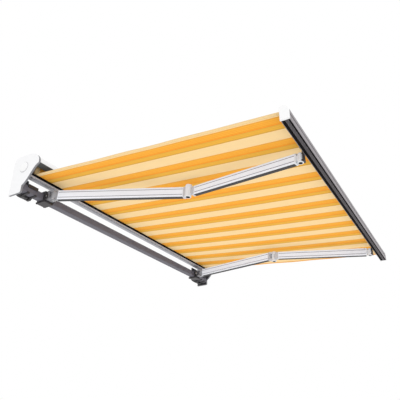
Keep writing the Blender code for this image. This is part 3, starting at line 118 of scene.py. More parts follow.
def joint(name: str) -> dict:
    """Find a joint of the frame by its name."""
    return next(entry for entry in frame["joints"] if entry["name"] == name)


def pitch() -> float:
    """Tilt of the arms' plane, from the left shoulder's axis (0, -sin, cos)."""
    return math.asin(-joint("left_shoulder")["axis"][1])


class Axis(Enum):
    """Direction that drawing marks run in on an extruded piece."""

    X = (0.02, 1.0, 1.0)
    ARM = (0.35, 0.06, 1.0)
    NONE = (1.0, 1.0, 1.0)


def linear(red: int, green: int, blue: int) -> Colour:
    """Turn display values into scene-linear light.

    Args:
        red: Red, 0 to 255.
        green: Green, 0 to 255.
        blue: Blue, 0 to 255.

    Returns:
        The three linear values.
    """
    values = np.array([red, green, blue], float) / 255.0
    low = values / 12.92
    high = ((values + 0.055) / 1.055) ** 2.4
    return tuple(float(v) for v in np.where(values <= 0.04045, low, high))


class Wiring:
    """Small helper that adds nodes to a tree and joins them."""

    def __init__(self, tree: Tree) -> None:
        """Keep the tree that nodes are added to."""
        self.tree = tree

    def add(self, kind: str, **values: object) -> Node:
        """Add a node and set its properties.

        Args:
            kind: Name of the node's type.
            values: Properties to set on it.

        Returns:
            The new node.
        """
        node = self.tree.nodes.new(kind)
        for key, value in values.items():
            setattr(node, key, value)
        return node

    def join(self, source: Socket, target: Socket) -> None:
        """Link one socket to another."""
        self.tree.links.new(source, target)

    def math(self, operation: str, first: Socket | float, second: Socket | float = 0.0) -> Socket:
        """Add a Math node.

        Args:
            operation: Name of the operation.
            first: A socket or a number.
            second: A socket or a number.

        Returns:
            The result's socket.
        """
        node = self.add("ShaderNodeMath", operation=operation)
        for index, value in enumerate((first, second)):
            if isinstance(value, (int, float)):
                node.inputs[index].default_value = value
            else:
                self.join(value, node.inputs[index])
        return node.outputs[0]

    def mix(self, factor: Socket | float, low: Socket | Colour, high: Socket | Colour) -> Socket:
        """Mix two colours.

        Args:
            factor: Share of the second colour.
            low: Colour at factor 0.
            high: Colour at factor 1.

        Returns:
            The mixed colour's socket.
        """
        node = self.add("ShaderNodeMix", data_type="RGBA", blend_type="MIX")
        for socket, value in ((node.inputs[0], factor), (node.inputs[6], low), (node.inputs[7], high)):
            if isinstance(value, (int, float)):
                socket.default_value = value
            elif isinstance(value, tuple):
                socket.default_value = (*value, 1.0)
            else:
                self.join(value, socket)
        return node.outputs[2]

    def noise(self, place: Socket, scale: Socket | float, detail: float) -> Socket:
        """Add a noise texture.

        Args:
            place: The place that it is read at.
            scale: A socket or a number.
            detail: Number of finer layers.

        Returns:
            The socket of its value from 0 to 1.
        """
        node = self.add("ShaderNodeTexNoise")
        self.join(place, node.inputs["Vector"])
        if isinstance(scale, (int, float)):
            node.inputs["Scale"].default_value = scale
        else:
            self.join(scale, node.inputs["Scale"])
        node.inputs["Detail"].default_value = detail
        return node.outputs[0]

    def swing(self, value: Socket, amount: float) -> Socket:
        """Turn a value from 0 to 1 into one about zero: (value - 0.5) * amount."""
        return self.math("MULTIPLY", self.math("SUBTRACT", value, 0.5), amount)

    def scaled(self, colour: Socket, tone: Socket) -> Socket:
        """Multiply a colour by a number.

        Args:
            colour: The colour.
            tone: The number.

        Returns:
            The product's socket.
        """
        node = self.add("ShaderNodeVectorMath", operation="SCALE")
        self.join(colour, node.inputs[0])
        self.join(tone, node.inputs["Scale"])
        return node.outputs[0]

    def split(self, vector: Socket) -> Node:
        """Part a vector into X, Y and Z.

        Args:
            vector: The vector.

        Returns:
            The node with the three outputs.
        """
        node = self.add("ShaderNodeSeparateXYZ")
        self.join(vector, node.inputs[0])
        return node

    def bump(self, height: Socket, strength: float, depth: float, shader: Node) -> None:
        """Feed a height to a shader's normal.

        Args:
            height: The height from about 0 to 1.
            strength: Share of the effect.
            depth: Distance that a height of 1 stands for.
            shader: The shader.
        """
        node = self.add("ShaderNodeBump")
        node.inputs["Strength"].default_value = strength
        node.inputs["Distance"].default_value = depth
        self.join(height, node.inputs["Height"])
        self.join(node.outputs[0], shader.inputs["Normal"])


def new_material(name: str) -> tuple[Material, Wiring, Node]:
    """Start a material.

    Args:
        name: Its name.

    Returns:
        The material, its wiring helper and its surface shader.
    """
    material = bpy.data.materials.new(name)
    material.use_nodes = True
    return material, Wiring(material.node_tree), material.node_tree.nodes["Principled BSDF"]


class Effects:
    """Shared surface effects, each a node group that is built once. A noise is (scale, detail)."""

    grain_detail: float = 3.0
    mottle_noise: Pair = (9.0, 4.0)
    line_noise: Pair = (260.0, 2.0)
    dust_noise: Pair = (22.0, 5.0)
    yarn_noise: Pair = (420.0, 2.0)
    yarn_squeeze: float = 0.015

    def __init__(self) -> None:
        """Build the groups."""
        self.grain = self._grain()
        self.drawn = self._drawn()
        self.dust = self._dust()
        self.stripes = self._stripes()
        self.weave = self._weave()

    @staticmethod
    def _open(
        name: str, inputs: dict[str, float | None], outputs: tuple[str, ...],
    ) -> tuple[Wiring, Node, Node]:
        """Start a group with named sockets.

        Args:
            name: The group's name.
            inputs: Default value by socket name, or None for a vector.
            outputs: Names of the results; the one named Colour is a colour, the others are numbers.

        Returns:
            The wiring helper, the group's input node and its output node.
        """
        tree = bpy.data.node_groups.new(name, "ShaderNodeTree")
        for key, value in inputs.items():
            kind = "NodeSocketVector" if value is None else "NodeSocketFloat"
            socket = tree.interface.new_socket(name=key, in_out="INPUT", socket_type=kind)
            if value is not None:
                socket.default_value = value
        for key in outputs:
            kind = "NodeSocketColor" if key == "Colour" else "NodeSocketFloat"
            tree.interface.new_socket(name=key, in_out="OUTPUT", socket_type=kind)
        wiring = Wiring(tree)
        return wiring, wiring.add("NodeGroupInput"), wiring.add("NodeGroupOutput")

    def _grain(self) -> Tree:
        """Cast or sprayed grain: two sizes of noise give a height and a slow mottle from 0 to 1."""
        w, given, out = self._open("surface grain", {"Vector": None, "Scale": 600.0}, ("Height", "Mottle"))
        fine = w.noise(given.outputs["Vector"], given.outputs["Scale"], self.grain_detail)
        w.join(fine, out.inputs["Height"])
        w.join(w.noise(given.outputs["Vector"], *self.mottle_noise), out.inputs["Mottle"])
        return w.tree

    def _drawn(self) -> Tree:
        """Long faint die lines: noise in a space squeezed along the piece's own direction."""
        w, given, out = self._open("drawn lines", {"Vector": None, "Squeeze": None}, ("Lines",))
        stretch = w.add("ShaderNodeVectorMath", operation="MULTIPLY")
        w.join(given.outputs["Vector"], stretch.inputs[0])
        w.join(given.outputs["Squeeze"], stretch.inputs[1])
        w.join(w.noise(stretch.outputs[0], *self.line_noise), out.inputs["Lines"])
        return w.tree

    def _dust(self) -> Tree:
        """Settled dust: more on faces that look up, broken up by noise. Mask = up * noise * amount."""
        w, given, out = self._open("settled dust", {"Vector": None, "Amount": 0.2}, ("Mask",))
        normal = w.split(w.add("ShaderNodeNewGeometry").outputs["Normal"])
        up = w.math("MAXIMUM", normal.outputs["Z"], 0.0)
        patchy = w.math("MULTIPLY", up, w.noise(given.outputs["Vector"], *self.dust_noise))
        w.join(w.math("MULTIPLY", patchy, given.outputs["Amount"]), out.inputs["Mask"])
        return w.tree

    def _stripes(self) -> Tree:
        """Woven stripes across the width: the place in one repeat is fract((x - start) / repeat)."""
        w, given, out = self._open("woven stripes", {"Across": 0.0, "Start": 0.0, "Repeat": 1.0}, ("Colour",))
        place = w.math("SUBTRACT", given.outputs["Across"], given.outputs["Start"])
        share = w.math("FRACT", w.math("DIVIDE", place, given.outputs["Repeat"]))
        ramp = w.add("ShaderNodeValToRGB")
        ramp.color_ramp.interpolation = "CONSTANT"
        bands = Stripe.repeat()
        while len(ramp.color_ramp.elements) < len(bands):
            ramp.color_ramp.elements.new(1.0)
        for element, (start, stripe) in zip(ramp.color_ramp.elements, bands):
            element.position = start
            element.color = (*stripe.value, 1.0)
        w.join(share, ramp.inputs[0])
        w.join(ramp.outputs[0], out.inputs["Colour"])
        return w.tree

    def _weave(self) -> Tree:
        """Plain weave: height is the higher of two crossed threads, |sin| of each thread's own count.

        Tint is a slow difference between neighbouring yarns, from noise squeezed along the length.
        """
        sockets = {"Across": 0.0, "Along": 0.0, "Thread": 0.0012}
        w, given, out = self._open("plain weave", sockets, ("Height", "Tint"))
        waves = []
        for key in ("Across", "Along"):
            turns = w.math("DIVIDE", given.outputs[key], given.outputs["Thread"])
            waves.append(w.math("ABSOLUTE", w.math("SINE", w.math("MULTIPLY", turns, math.pi))))
        w.join(w.math("MAXIMUM", waves[0], waves[1]), out.inputs["Height"])
        place = w.add("ShaderNodeCombineXYZ")
        w.join(given.outputs["Across"], place.inputs[0])
        w.join(w.math("MULTIPLY", given.outputs["Along"], self.yarn_squeeze), place.inputs[1])
        w.join(w.noise(place.outputs[0], *self.yarn_noise), out.inputs["Tint"])
        return w.tree


class Stripe(Enum):
    """Yarn colours of the awning cloth."""

    CREAM = linear(252, 218, 160)
    AMBER = linear(238, 170, 70)
    GOLD = linear(253, 180, 62)
    ORANGE = linear(249, 162, 46)
    PIN = linear(246, 147, 44)
    OLIVE = linear(235, 178, 66)
    BROWN = linear(218, 164, 66)

    @classmethod
    def repeat(cls) -> list[tuple[float, "Stripe"]]:
        """The order of one repeat, as (start share, yarn)."""
        return [
            (0.0, cls.CREAM),
            (0.155, cls.AMBER),
            (0.180, cls.PIN),
            (0.190, cls.AMBER),
            (0.205, cls.GOLD),
            (0.262, cls.PIN),
            (0.276, cls.GOLD),
            (0.330, cls.PIN),
            (0.342, cls.GOLD),
            (0.385, cls.ORANGE),
            (0.425, cls.GOLD),
            (0.437, cls.PIN),
            (0.475, cls.OLIVE),
            (0.545, cls.GOLD),
            (0.560, cls.OLIVE),
            (0.610, cls.GOLD),
            (0.622, cls.OLIVE),
            (0.655, cls.BROWN),
            (0.700, cls.CREAM),
        ]


@dataclass(frozen=True)
class Finish:
    """A hard surface: its colour and gloss, its grain, its drawing marks and the dust on it.

    A rim_within above 0 shows the rim colour where |X| is below it, as on the inner edge of the end covers.
    """

    name: str
    colour: Colour
    roughness: float
    metallic: float = 0.0
    grain_scale: float = 900.0
    grain_height: float = 0.05
    mottle: float = 0.06
    lines: float = 0.0
    axis: Axis = Axis.NONE
    dust: float = 0.10
    coat: float = 0.0
    specular: float = 0.5
    rim_within: float = 0.0
    rim_colour: Colour = linear(132, 132, 136)
    dust_colour: Colour = linear(150, 143, 132)
    coat_roughness: float = 0.15
    rough_swing: float = 0.12
    streak_roughness: float = 0.5
    dust_roughness: float = 0.4
    line_relief: float = 4.0
    relief_depth: float = 0.0005

    def material(self, effects: Effects) -> Material:
        """Build the material.

        Args:
            effects: The shared node groups.

        Returns:
            The new material.
        """
        material, w, shader = new_material(self.name)
        shader.inputs["Metallic"].default_value = self.metallic
        shader.inputs["Coat Weight"].default_value = self.coat
        shader.inputs["Coat Roughness"].default_value = self.coat_roughness
        shader.inputs["Specular IOR Level"].default_value = self.specular
        place = w.add("ShaderNodeTexCoord").outputs["Object"]
        grain = w.add("ShaderNodeGroup", node_tree=effects.grain)
        grain.inputs["Scale"].default_value = self.grain_scale
        drawn = w.add("ShaderNodeGroup", node_tree=effects.drawn)
        drawn.inputs["Squeeze"].default_value = self.axis.value
        dust = w.add("ShaderNodeGroup", node_tree=effects.dust)
        dust.inputs["Amount"].default_value = self.dust
        for group in (grain, drawn, dust):
            w.join(place, group.inputs["Vector"])
        light = tuple(min(1.0, c * (1.0 + self.mottle)) for c in self.colour)
        dark = tuple(c * (1.0 - self.mottle) for c in self.colour)
        base = w.mix(grain.outputs["Mottle"], dark, light)
        streak = w.swing(drawn.outputs["Lines"], self.lines)
        shown = w.scaled(base, w.math("ADD", streak, 1.0))
        if self.rim_within:
            away = w.math("ABSOLUTE", w.split(place).outputs["X"])
            shown = w.mix(w.math("LESS_THAN", away, self.rim_within), shown, self.rim_colour)
        w.join(w.mix(dust.outputs["Mask"], shown, self.dust_colour), shader.inputs["Base Color"])
        mottled = w.math("MULTIPLY", grain.outputs["Mottle"], self.rough_swing)
        rough = w.math("ADD", mottled, self.roughness - self.rough_swing / 2.0)
        rough = w.math("ADD", rough, w.math("MULTIPLY", streak, self.streak_roughness))
        rough = w.math("ADD", rough, w.math("MULTIPLY", dust.outputs["Mask"], self.dust_roughness))
        w.join(rough, shader.inputs["Roughness"])
        ridges = w.math("MULTIPLY", drawn.outputs["Lines"], self.lines * self.line_relief)
        height = w.math("ADD", grain.outputs["Height"], ridges)
        w.bump(height, self.grain_height, self.relief_depth, shader)
        return material


@dataclass(frozen=True)
class ClothFinish:
    """Solution-dyed awning cloth: woven stripes, thread relief, hems, seams and a little weathering.

    Seen by light that has bounced, the cloth is nearly plain: it is thin and lets daylight through, and so it
    tints the pieces beside it less than a board of its colours would.
    """

    name: str
    start: float
    repeat: float
    half_width: float
    from_uv: bool = True
    hem: float = 0.022
    hem_shade: float = 0.045
    thread: float = 0.0011
    yarn_swing: float = 0.10
    wear_swing: float = 0.05
    stitch_inset: float = 0.004
    stitch_half_width: float = 0.0008
    stitch_pitch: float = 0.0075
    stitch_gap: float = 0.25
    stitch_shade: float = 0.25
    gloss: float = 0.04
    sheen_roughness: float = 0.6
    roughness: float = 0.92
    rough_swing: float = 0.12
    wear_scale: float = 240.0
    hem_relief: float = 1.5
    relief: float = 0.22
    relief_depth: float = 0.0004
    passed_light: Colour = (0.80, 0.80, 0.83)
    passed_share: float = 0.85

    def material(self, effects: Effects) -> Material:
        """Build the material.

        Args:
            effects: The shared node groups.

        Returns:
            The new material.
        """
        material, w, shader = new_material(self.name)
        shader.inputs["Sheen Weight"].default_value = self.gloss
        shader.inputs["Sheen Roughness"].default_value = self.sheen_roughness
        shader.inputs["Specular IOR Level"].default_value = self.gloss
        source = w.add("ShaderNodeTexCoord").outputs["UV" if self.from_uv else "Object"]
        place = w.split(source)
        across, along = place.outputs["X"], place.outputs["Y"]
        stripes = w.add("ShaderNodeGroup", node_tree=effects.stripes)
        w.join(across, stripes.inputs["Across"])
        stripes.inputs["Start"].default_value = self.start
        stripes.inputs["Repeat"].default_value = self.repeat
        weave = w.add("ShaderNodeGroup", node_tree=effects.weave)
        w.join(across, weave.inputs["Across"])
        w.join(along, weave.inputs["Along"])
        weave.inputs["Thread"].default_value = self.thread
        grain = w.add("ShaderNodeGroup", node_tree=effects.grain)
        w.join(source, grain.inputs["Vector"])
        grain.inputs["Scale"].default_value = self.wear_scale
        yarn = w.math("ADD", w.swing(weave.outputs["Tint"], self.yarn_swing), 1.0)
        worn = w.math("ADD", w.swing(grain.outputs["Mottle"], self.wear_swing), yarn)
        edge = w.math("SUBTRACT", self.half_width, w.math("ABSOLUTE", across))
        hem = w.math("LESS_THAN", edge, self.hem)
        from_seam = w.math("ABSOLUTE", w.math("SUBTRACT", edge, self.hem - self.stitch_inset))
        stitch = w.math("LESS_THAN", from_seam, self.stitch_half_width)
        turns = w.math("FRACT", w.math("DIVIDE", along, self.stitch_pitch))
        thread = w.math("MULTIPLY", stitch, w.math("GREATER_THAN", turns, self.stitch_gap))
        tone = w.math("MULTIPLY", worn, w.math("SUBTRACT", 1.0, w.math("MULTIPLY", hem, self.hem_shade)))
        seam_tone = w.math("SUBTRACT", 1.0, w.math("MULTIPLY", thread, self.stitch_shade))
        tone = w.math("MULTIPLY", tone, seam_tone)
        shown = w.scaled(stripes.outputs["Colour"], tone)
        bounced = w.add("ShaderNodeLightPath").outputs["Is Diffuse Ray"]
        passed = w.math("MULTIPLY", bounced, self.passed_share)
        w.join(w.mix(passed, shown, self.passed_light), shader.inputs["Base Color"])
        smoother = w.math("MULTIPLY", weave.outputs["Height"], self.rough_swing)
        w.join(w.math("SUBTRACT", self.roughness, smoother), shader.inputs["Roughness"])
        height = w.math("ADD", weave.outputs["Height"], w.math("MULTIPLY", hem, self.hem_relief))
        w.bump(w.math("SUBTRACT", height, thread), self.relief, self.relief_depth, shader)
        return material


CAST_GRAIN = 420.0
MOULD_GRAIN = 1500.0


def drawn_coat(name: str, colour: Colour, roughness: float, lines: float, **rest: float) -> Finish:
    """Finish of a piece drawn or extruded along X."""
    return Finish(name, colour, roughness, lines=lines, axis=Axis.X, **rest)


def cast_coat(
    name: str, colour: Colour, roughness: float, height: float, mottle: float, metallic: float = 0.0,
) -> Finish:
    """Finish of a cast and sprayed fitting."""
    return Finish(name, colour, roughness, metallic, CAST_GRAIN, height, mottle)


WHITE_COAT = Finish(
    "white powder coat", linear(247, 249, 255), 0.34, mottle=0.012, lines=0.03, axis=Axis.ARM, coat=0.15,
)
WHITE_PROFILE = drawn_coat("white profile coat", linear(240, 240, 240), 0.36, 0.03, mottle=0.015, coat=0.15)
WHITE_MOULD = Finish("white moulding", linear(238, 238, 238), 0.40, grain_scale=MOULD_GRAIN, mottle=0.02)
COVER_MOULD = Finish(
    "end cover moulding", linear(236, 236, 237), 0.40, grain_scale=MOULD_GRAIN, mottle=0.02,
    rim_within=0.9838,
)
SILVER = drawn_coat("silver anodised profile", linear(140, 134, 138), 0.42, 0.22, metallic=0.3, mottle=0.03)
SHELL = drawn_coat("lower shell coat", linear(182, 181, 187), 0.40, 0.16, metallic=0.2, mottle=0.03)
# Dark of the shell's lines: painted shade standing for its grooves.
SHELL_GROOVE_SHADE = drawn_coat("shell line", linear(70, 68, 72), 0.50, 0.1)
# Grey of the ring round the end cap: painted shadow of the gap at the cap's foot.
CAP_PAINTED_SHADOW = Finish("cap seam", linear(168, 168, 172), 0.50)
# Grey of the strips in the arms' grooves: painted shade on the grooves' floors.
GROOVE_PAINTED_SHADE = Finish("groove shade", linear(132, 131, 142), 0.50, axis=Axis.ARM, lines=0.1)
BAR_GREY = drawn_coat("bar grey coat", linear(100, 98, 106), 0.52, 0.14, mottle=0.05, specular=0.35)
CAST_GREY = cast_coat("cast grey coat", linear(60, 58, 60), 0.46, 0.35, 0.18, 0.25)
CAST_DARK = cast_coat("dark clamp coat", linear(44, 42, 44), 0.50, 0.3, 0.2)
CAST_LIGHT = cast_coat("cast light coat", linear(234, 236, 239), 0.38, 0.28, 0.05, 0.1)
CAST_PALE = cast_coat("cast pale coat", linear(204, 204, 208), 0.38, 0.28, 0.08, 0.1)
CAST_MID = cast_coat("cast mid coat", linear(166, 166, 170), 0.38, 0.3, 0.14, 0.3)
DARK_TRIM = Finish("dark trim", linear(58, 56, 58), 0.55, mottle=0.10, specular=0.3)
UNDER_BAND = drawn_coat("under band", linear(76, 72, 75), 0.55, 0.12, mottle=0.05, specular=0.3)
HOOD_UNDER = drawn_coat("hood under strip", linear(84, 88, 88), 0.50, 0.15, mottle=0.08, specular=0.3)
# Black rubber; the same finish also serves as painted shade in the pin sleeves' recesses and in the front
# bar's drip groove.
BLACK = Finish(
    "black rubber", linear(12, 11, 12), 0.85, grain_height=0.15, mottle=0.15, dust=0.02, specular=0.1,
)
MOTOR = Finish("motor plastic", linear(44, 44, 46), 0.55, grain_height=0.12, mottle=0.1)
STEEL = Finish("turned steel", linear(176, 176, 178), 0.26, metallic=1.0, lines=0.10, mottle=0.04)
ZINC = Finish("zinc plated steel", linear(184, 184, 182), 0.38, metallic=0.9, grain_scale=90.0, mottle=0.12)


class Surface:
    """Meshes made from whole arrays of points."""

    @staticmethod
    def grid(name: str, points: np.ndarray, around: bool = False, uv: np.ndarray | None = None) -> Object:
        """Make a quad mesh from a grid of points.

        Args:
            name: Name of the new object.
            points: Array of shape (rows, columns, 3).
            around: True if the last column joins the first.
            uv: Texture place of each point, of shape (rows, columns, 2).

        Returns:
            The new object, at the origin.
        """
        rows, columns = points.shape[:2]
        index = np.arange(rows * columns).reshape(rows, columns)
        after = np.roll(index, -1, axis=1) if around else index[:, 1:]
        here = index if around else index[:, :-1]
        quads = np.stack([here[:-1], after[:-1], after[1:], here[1:]], axis=-1).reshape(-1, 4)
        mesh = bpy.data.meshes.new(name)
        mesh.vertices.add(rows * columns)
        mesh.vertices.foreach_set("co", points.astype(np.float32).ravel())
        mesh.loops.add(quads.size)
        mesh.loops.foreach_set("vertex_index", quads.astype(np.int32).ravel())
        mesh.polygons.add(len(quads))
        mesh.polygons.foreach_set("loop_start", np.arange(0, quads.size, 4, dtype=np.int32))
        mesh.update(calc_edges=True)
        if uv is not None:
            layer = mesh.uv_layers.new(name="cloth")
            flat = uv.reshape(-1, 2)[quads.ravel()]
            layer.data.foreach_set("uv", flat.astype(np.float32).ravel())
        mesh.validate()
        obj = bpy.data.objects.new(name, mesh)
        bpy.context.scene.collection.objects.link(obj)
        return obj

    @staticmethod
    def bar(name: str, section: np.ndarray, stations: np.ndarray, place: Matrix) -> Object:
        """Carry a closed section along a straight line and close both ends with shrinking rings.

        Args:
            name: Name of the new object.
            section: Closed outline of shape (n, 2), in the plane across the line.
            stations: Pairs of (distance along the line, share of the section's size), of shape (m, 2).
            place: Matrix that takes (along, across, up) to world places.

        Returns:
            The new object, at the origin.
        """
        centre = (section.min(axis=0) + section.max(axis=0)) / 2.0
        size = stations[:, 1][:, None, None]
        ring = centre + (section - centre)[None, :, :] * size
        along = np.broadcast_to(stations[:, 0][:, None, None], (*ring.shape[:2], 1))
        points = Surface.placed(np.concatenate([along, ring], axis=2), place)
        obj = Surface.grid(name, points, around=True)
        Surface.cap(obj)
        return obj

    @staticmethod
    def rail(name: str, section: np.ndarray, start: float, end: float) -> Object:
        """Carry a closed section of (y, z) points along X from start to end."""
        return Surface.bar(name, section, np.array([[start, 1.0], [end, 1.0]]), Matrix.Identity(4))

    @staticmethod
    def points(node: Object) -> np.ndarray:
        """Read the points of an object's mesh.

        Args:
            node: The object.

        Returns:
            Its points, of shape (n, 3).
        """
        points = np.zeros(len(node.data.vertices) * 3)
        node.data.vertices.foreach_get("co", points)
        return points.reshape(-1, 3)

    @staticmethod
    def placed(points: np.ndarray, place: Matrix) -> np.ndarray:
        """Take points of any grid shape through a matrix."""
        turn = np.array(place, float)
        return points @ turn[:3, :3].T + turn[:3, 3]

    @staticmethod
    def cap(obj: Object) -> None:
        """Close a mesh's open rims and turn its faces outwards.

        Args:
            obj: The mesh's object.
        """
        bm = bmesh.new()
        bm.from_mesh(obj.data)
        bmesh.ops.holes_fill(bm, edges=[e for e in bm.edges if e.is_boundary])
        bmesh.ops.remove_doubles(bm, verts=bm.verts, dist=1e-6)
        bmesh.ops.recalc_face_normals(bm, faces=bm.faces)
        bm.to_mesh(obj.data)
        bm.free()

    @staticmethod
    def rounded(width: float, height: float, radius: float, steps: int = 4) -> np.ndarray:
        """Rounded rectangle about the origin: four quarter circles on the corners of the inner box.

        Args:
            width: Size across.
            height: Size up.
            radius: Corner radius.
            steps: Points in each corner, less one.

        Returns:
            Outline of shape (n, 2).
        """
        angle = np.linspace(0.0, math.pi / 2.0, steps + 1)
        parts = []
        for quarter, (sx, sy) in enumerate(((1, 1), (-1, 1), (-1, -1), (1, -1))):
            turn = angle + quarter * math.pi / 2.0
            corner = np.array([sx * (width / 2.0 - radius), sy * (height / 2.0 - radius)])
            parts.append(corner + radius * np.stack([np.cos(turn), np.sin(turn)], axis=1))
        return np.concatenate(parts)

    @staticmethod
    def turned(name: str, profile: np.ndarray, place: Matrix, segments: int = 32) -> Object:
        """Turn a profile of (distance, radius) pairs about the first axis of a matrix.

        Args:
            name: Name of the new object.
            profile: Array of shape (n, 2).
            place: Matrix that takes (along, across, up) to world places.
            segments: Faces round the axis.

        Returns:
            The new object, at the origin.
        """
        angle = np.linspace(0.0, 2.0 * math.pi, segments, endpoint=False)
        radius = profile[:, 1][:, None]
        along = np.broadcast_to(profile[:, 0][:, None], (len(profile), segments))
        points = np.stack([along, radius * np.cos(angle), radius * np.sin(angle)], axis=2)
        obj = Surface.grid(name, Surface.placed(points, place), around=True)
        Surface.cap(obj)
        return obj


def dress(obj: Object, material: Material, body: str, slot: str, angle: float = 30.0) -> None:
    """Give a new piece its material, shading, body and slot.

    Args:
        obj: The piece.
        material: Its material.
        body: The body it rides on.
        slot: Its material slot in the record.
        angle: Sharp edges turn by more than this, in degrees.
    """
    obj.data.materials.clear()
    obj.data.materials.append(material)
    obj.data.shade_smooth()
    obj.data.set_sharp_from_angle(angle=math.radians(angle))
    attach(obj, body)
    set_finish(obj, slot)
    LOG.info("piece %s on %s, %d faces", obj.name, body, len(obj.data.polygons))


@dataclass
class Canopy:
    """The cloth between roll and front bar, hung with a light sag and slightly slack side hems.

    It leaves the roll at leave and ends in the front bar's slot at end, both as (y, z).
    """

    width: float = 1.86
    leave: Pair = (-0.08163, 0.09056)
    end: Pair = (-1.5193, -0.0460)
    folded_run: float = 0.035
    sag: float = 0.0035
    slack: float = 0.0012
    ripple: float = 25.0
    fade: float = 0.04
    thickness: float = 0.0008
    repeat: float = 0.1648
    columns: int = 241
    rows: int = 161

    @property
    def length(self) -> float:
        """Straight distance from roll to front bar."""
        return math.dist(self.leave, self.end)

    @property
    def travel(self) -> float:
        """How far the front bar rides in: the run from shoulder to hand at rest, less the run when folded."""
        shoulder, hand = joint("left_shoulder")["pos_m"], joint("left_hand")["pos_m"]
        return math.dist(shoulder[1:], hand[1:]) - self.folded_run

    def points(self) -> tuple[np.ndarray, np.ndarray]:
        """Grid of the cloth's middle surface.

        With s from 0 at the roll to 1 at the bar and e the distance from the nearer side edge,
        height = line(s) - sag * 4 s (1 - s) - slack * sin(pi s)^2 * sin(ripple s) * exp(-e / fade).

        Returns:
            The points and their places on the flat cloth, in metres.
        """
        across = np.linspace(-self.width / 2.0, self.width / 2.0, self.columns)
        share = np.linspace(0.0, 1.0, self.rows)
        s, x = np.meshgrid(share, across, indexing="ij")
        edge = self.width / 2.0 - np.abs(x)
        y = self.leave[0] + (self.end[0] - self.leave[0]) * s
        z = self.leave[1] + (self.end[1] - self.leave[1]) * s
        z = z - self.sag * 4.0 * s * (1.0 - s)
        z = z - self.slack * np.sin(math.pi * s) ** 2 * np.sin(self.ripple * s) * np.exp(-edge / self.fade)
        return np.stack([x, y, z], axis=2), np.stack([x, s * self.length], axis=2)

    def build(self, effects: Effects) -> None:
        """Make the cloth, and the same stripes for the wound part.

        Args:
            effects: The shared node groups.
        """
        points, flat = self.points()
        cloth = Surface.grid("canopy_cloth", points, uv=flat)
        skin = cloth.modifiers.new("thickness", "SOLIDIFY")
        skin.thickness = self.thickness
        skin.offset = 0.0
        start = -self.width / 2.0
        finish = ClothFinish("awning cloth", start, self.repeat, self.width / 2.0)
        dress(cloth, finish.material(effects), "wall_frame", "awning_cloth")
        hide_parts("canopy_fabric")
        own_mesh(cloth)
        wound = ClothFinish("wound cloth", start, self.repeat, self.width / 2.0, from_uv=False)
        node = frame["nodes"]["fabric_roll"]
        node.data.materials.clear()
        node.data.materials.append(wound.material(effects))
        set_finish(node, "awning_cloth")


@dataclass(frozen=True)
class Profile:
    """One hollow profile of an arm: it runs along the first axis of its place, from start to end."""

    name: str
    body: str
    place: Matrix
    start: float
    end: float
    width: float
    height: float
    offset: float = 0.0


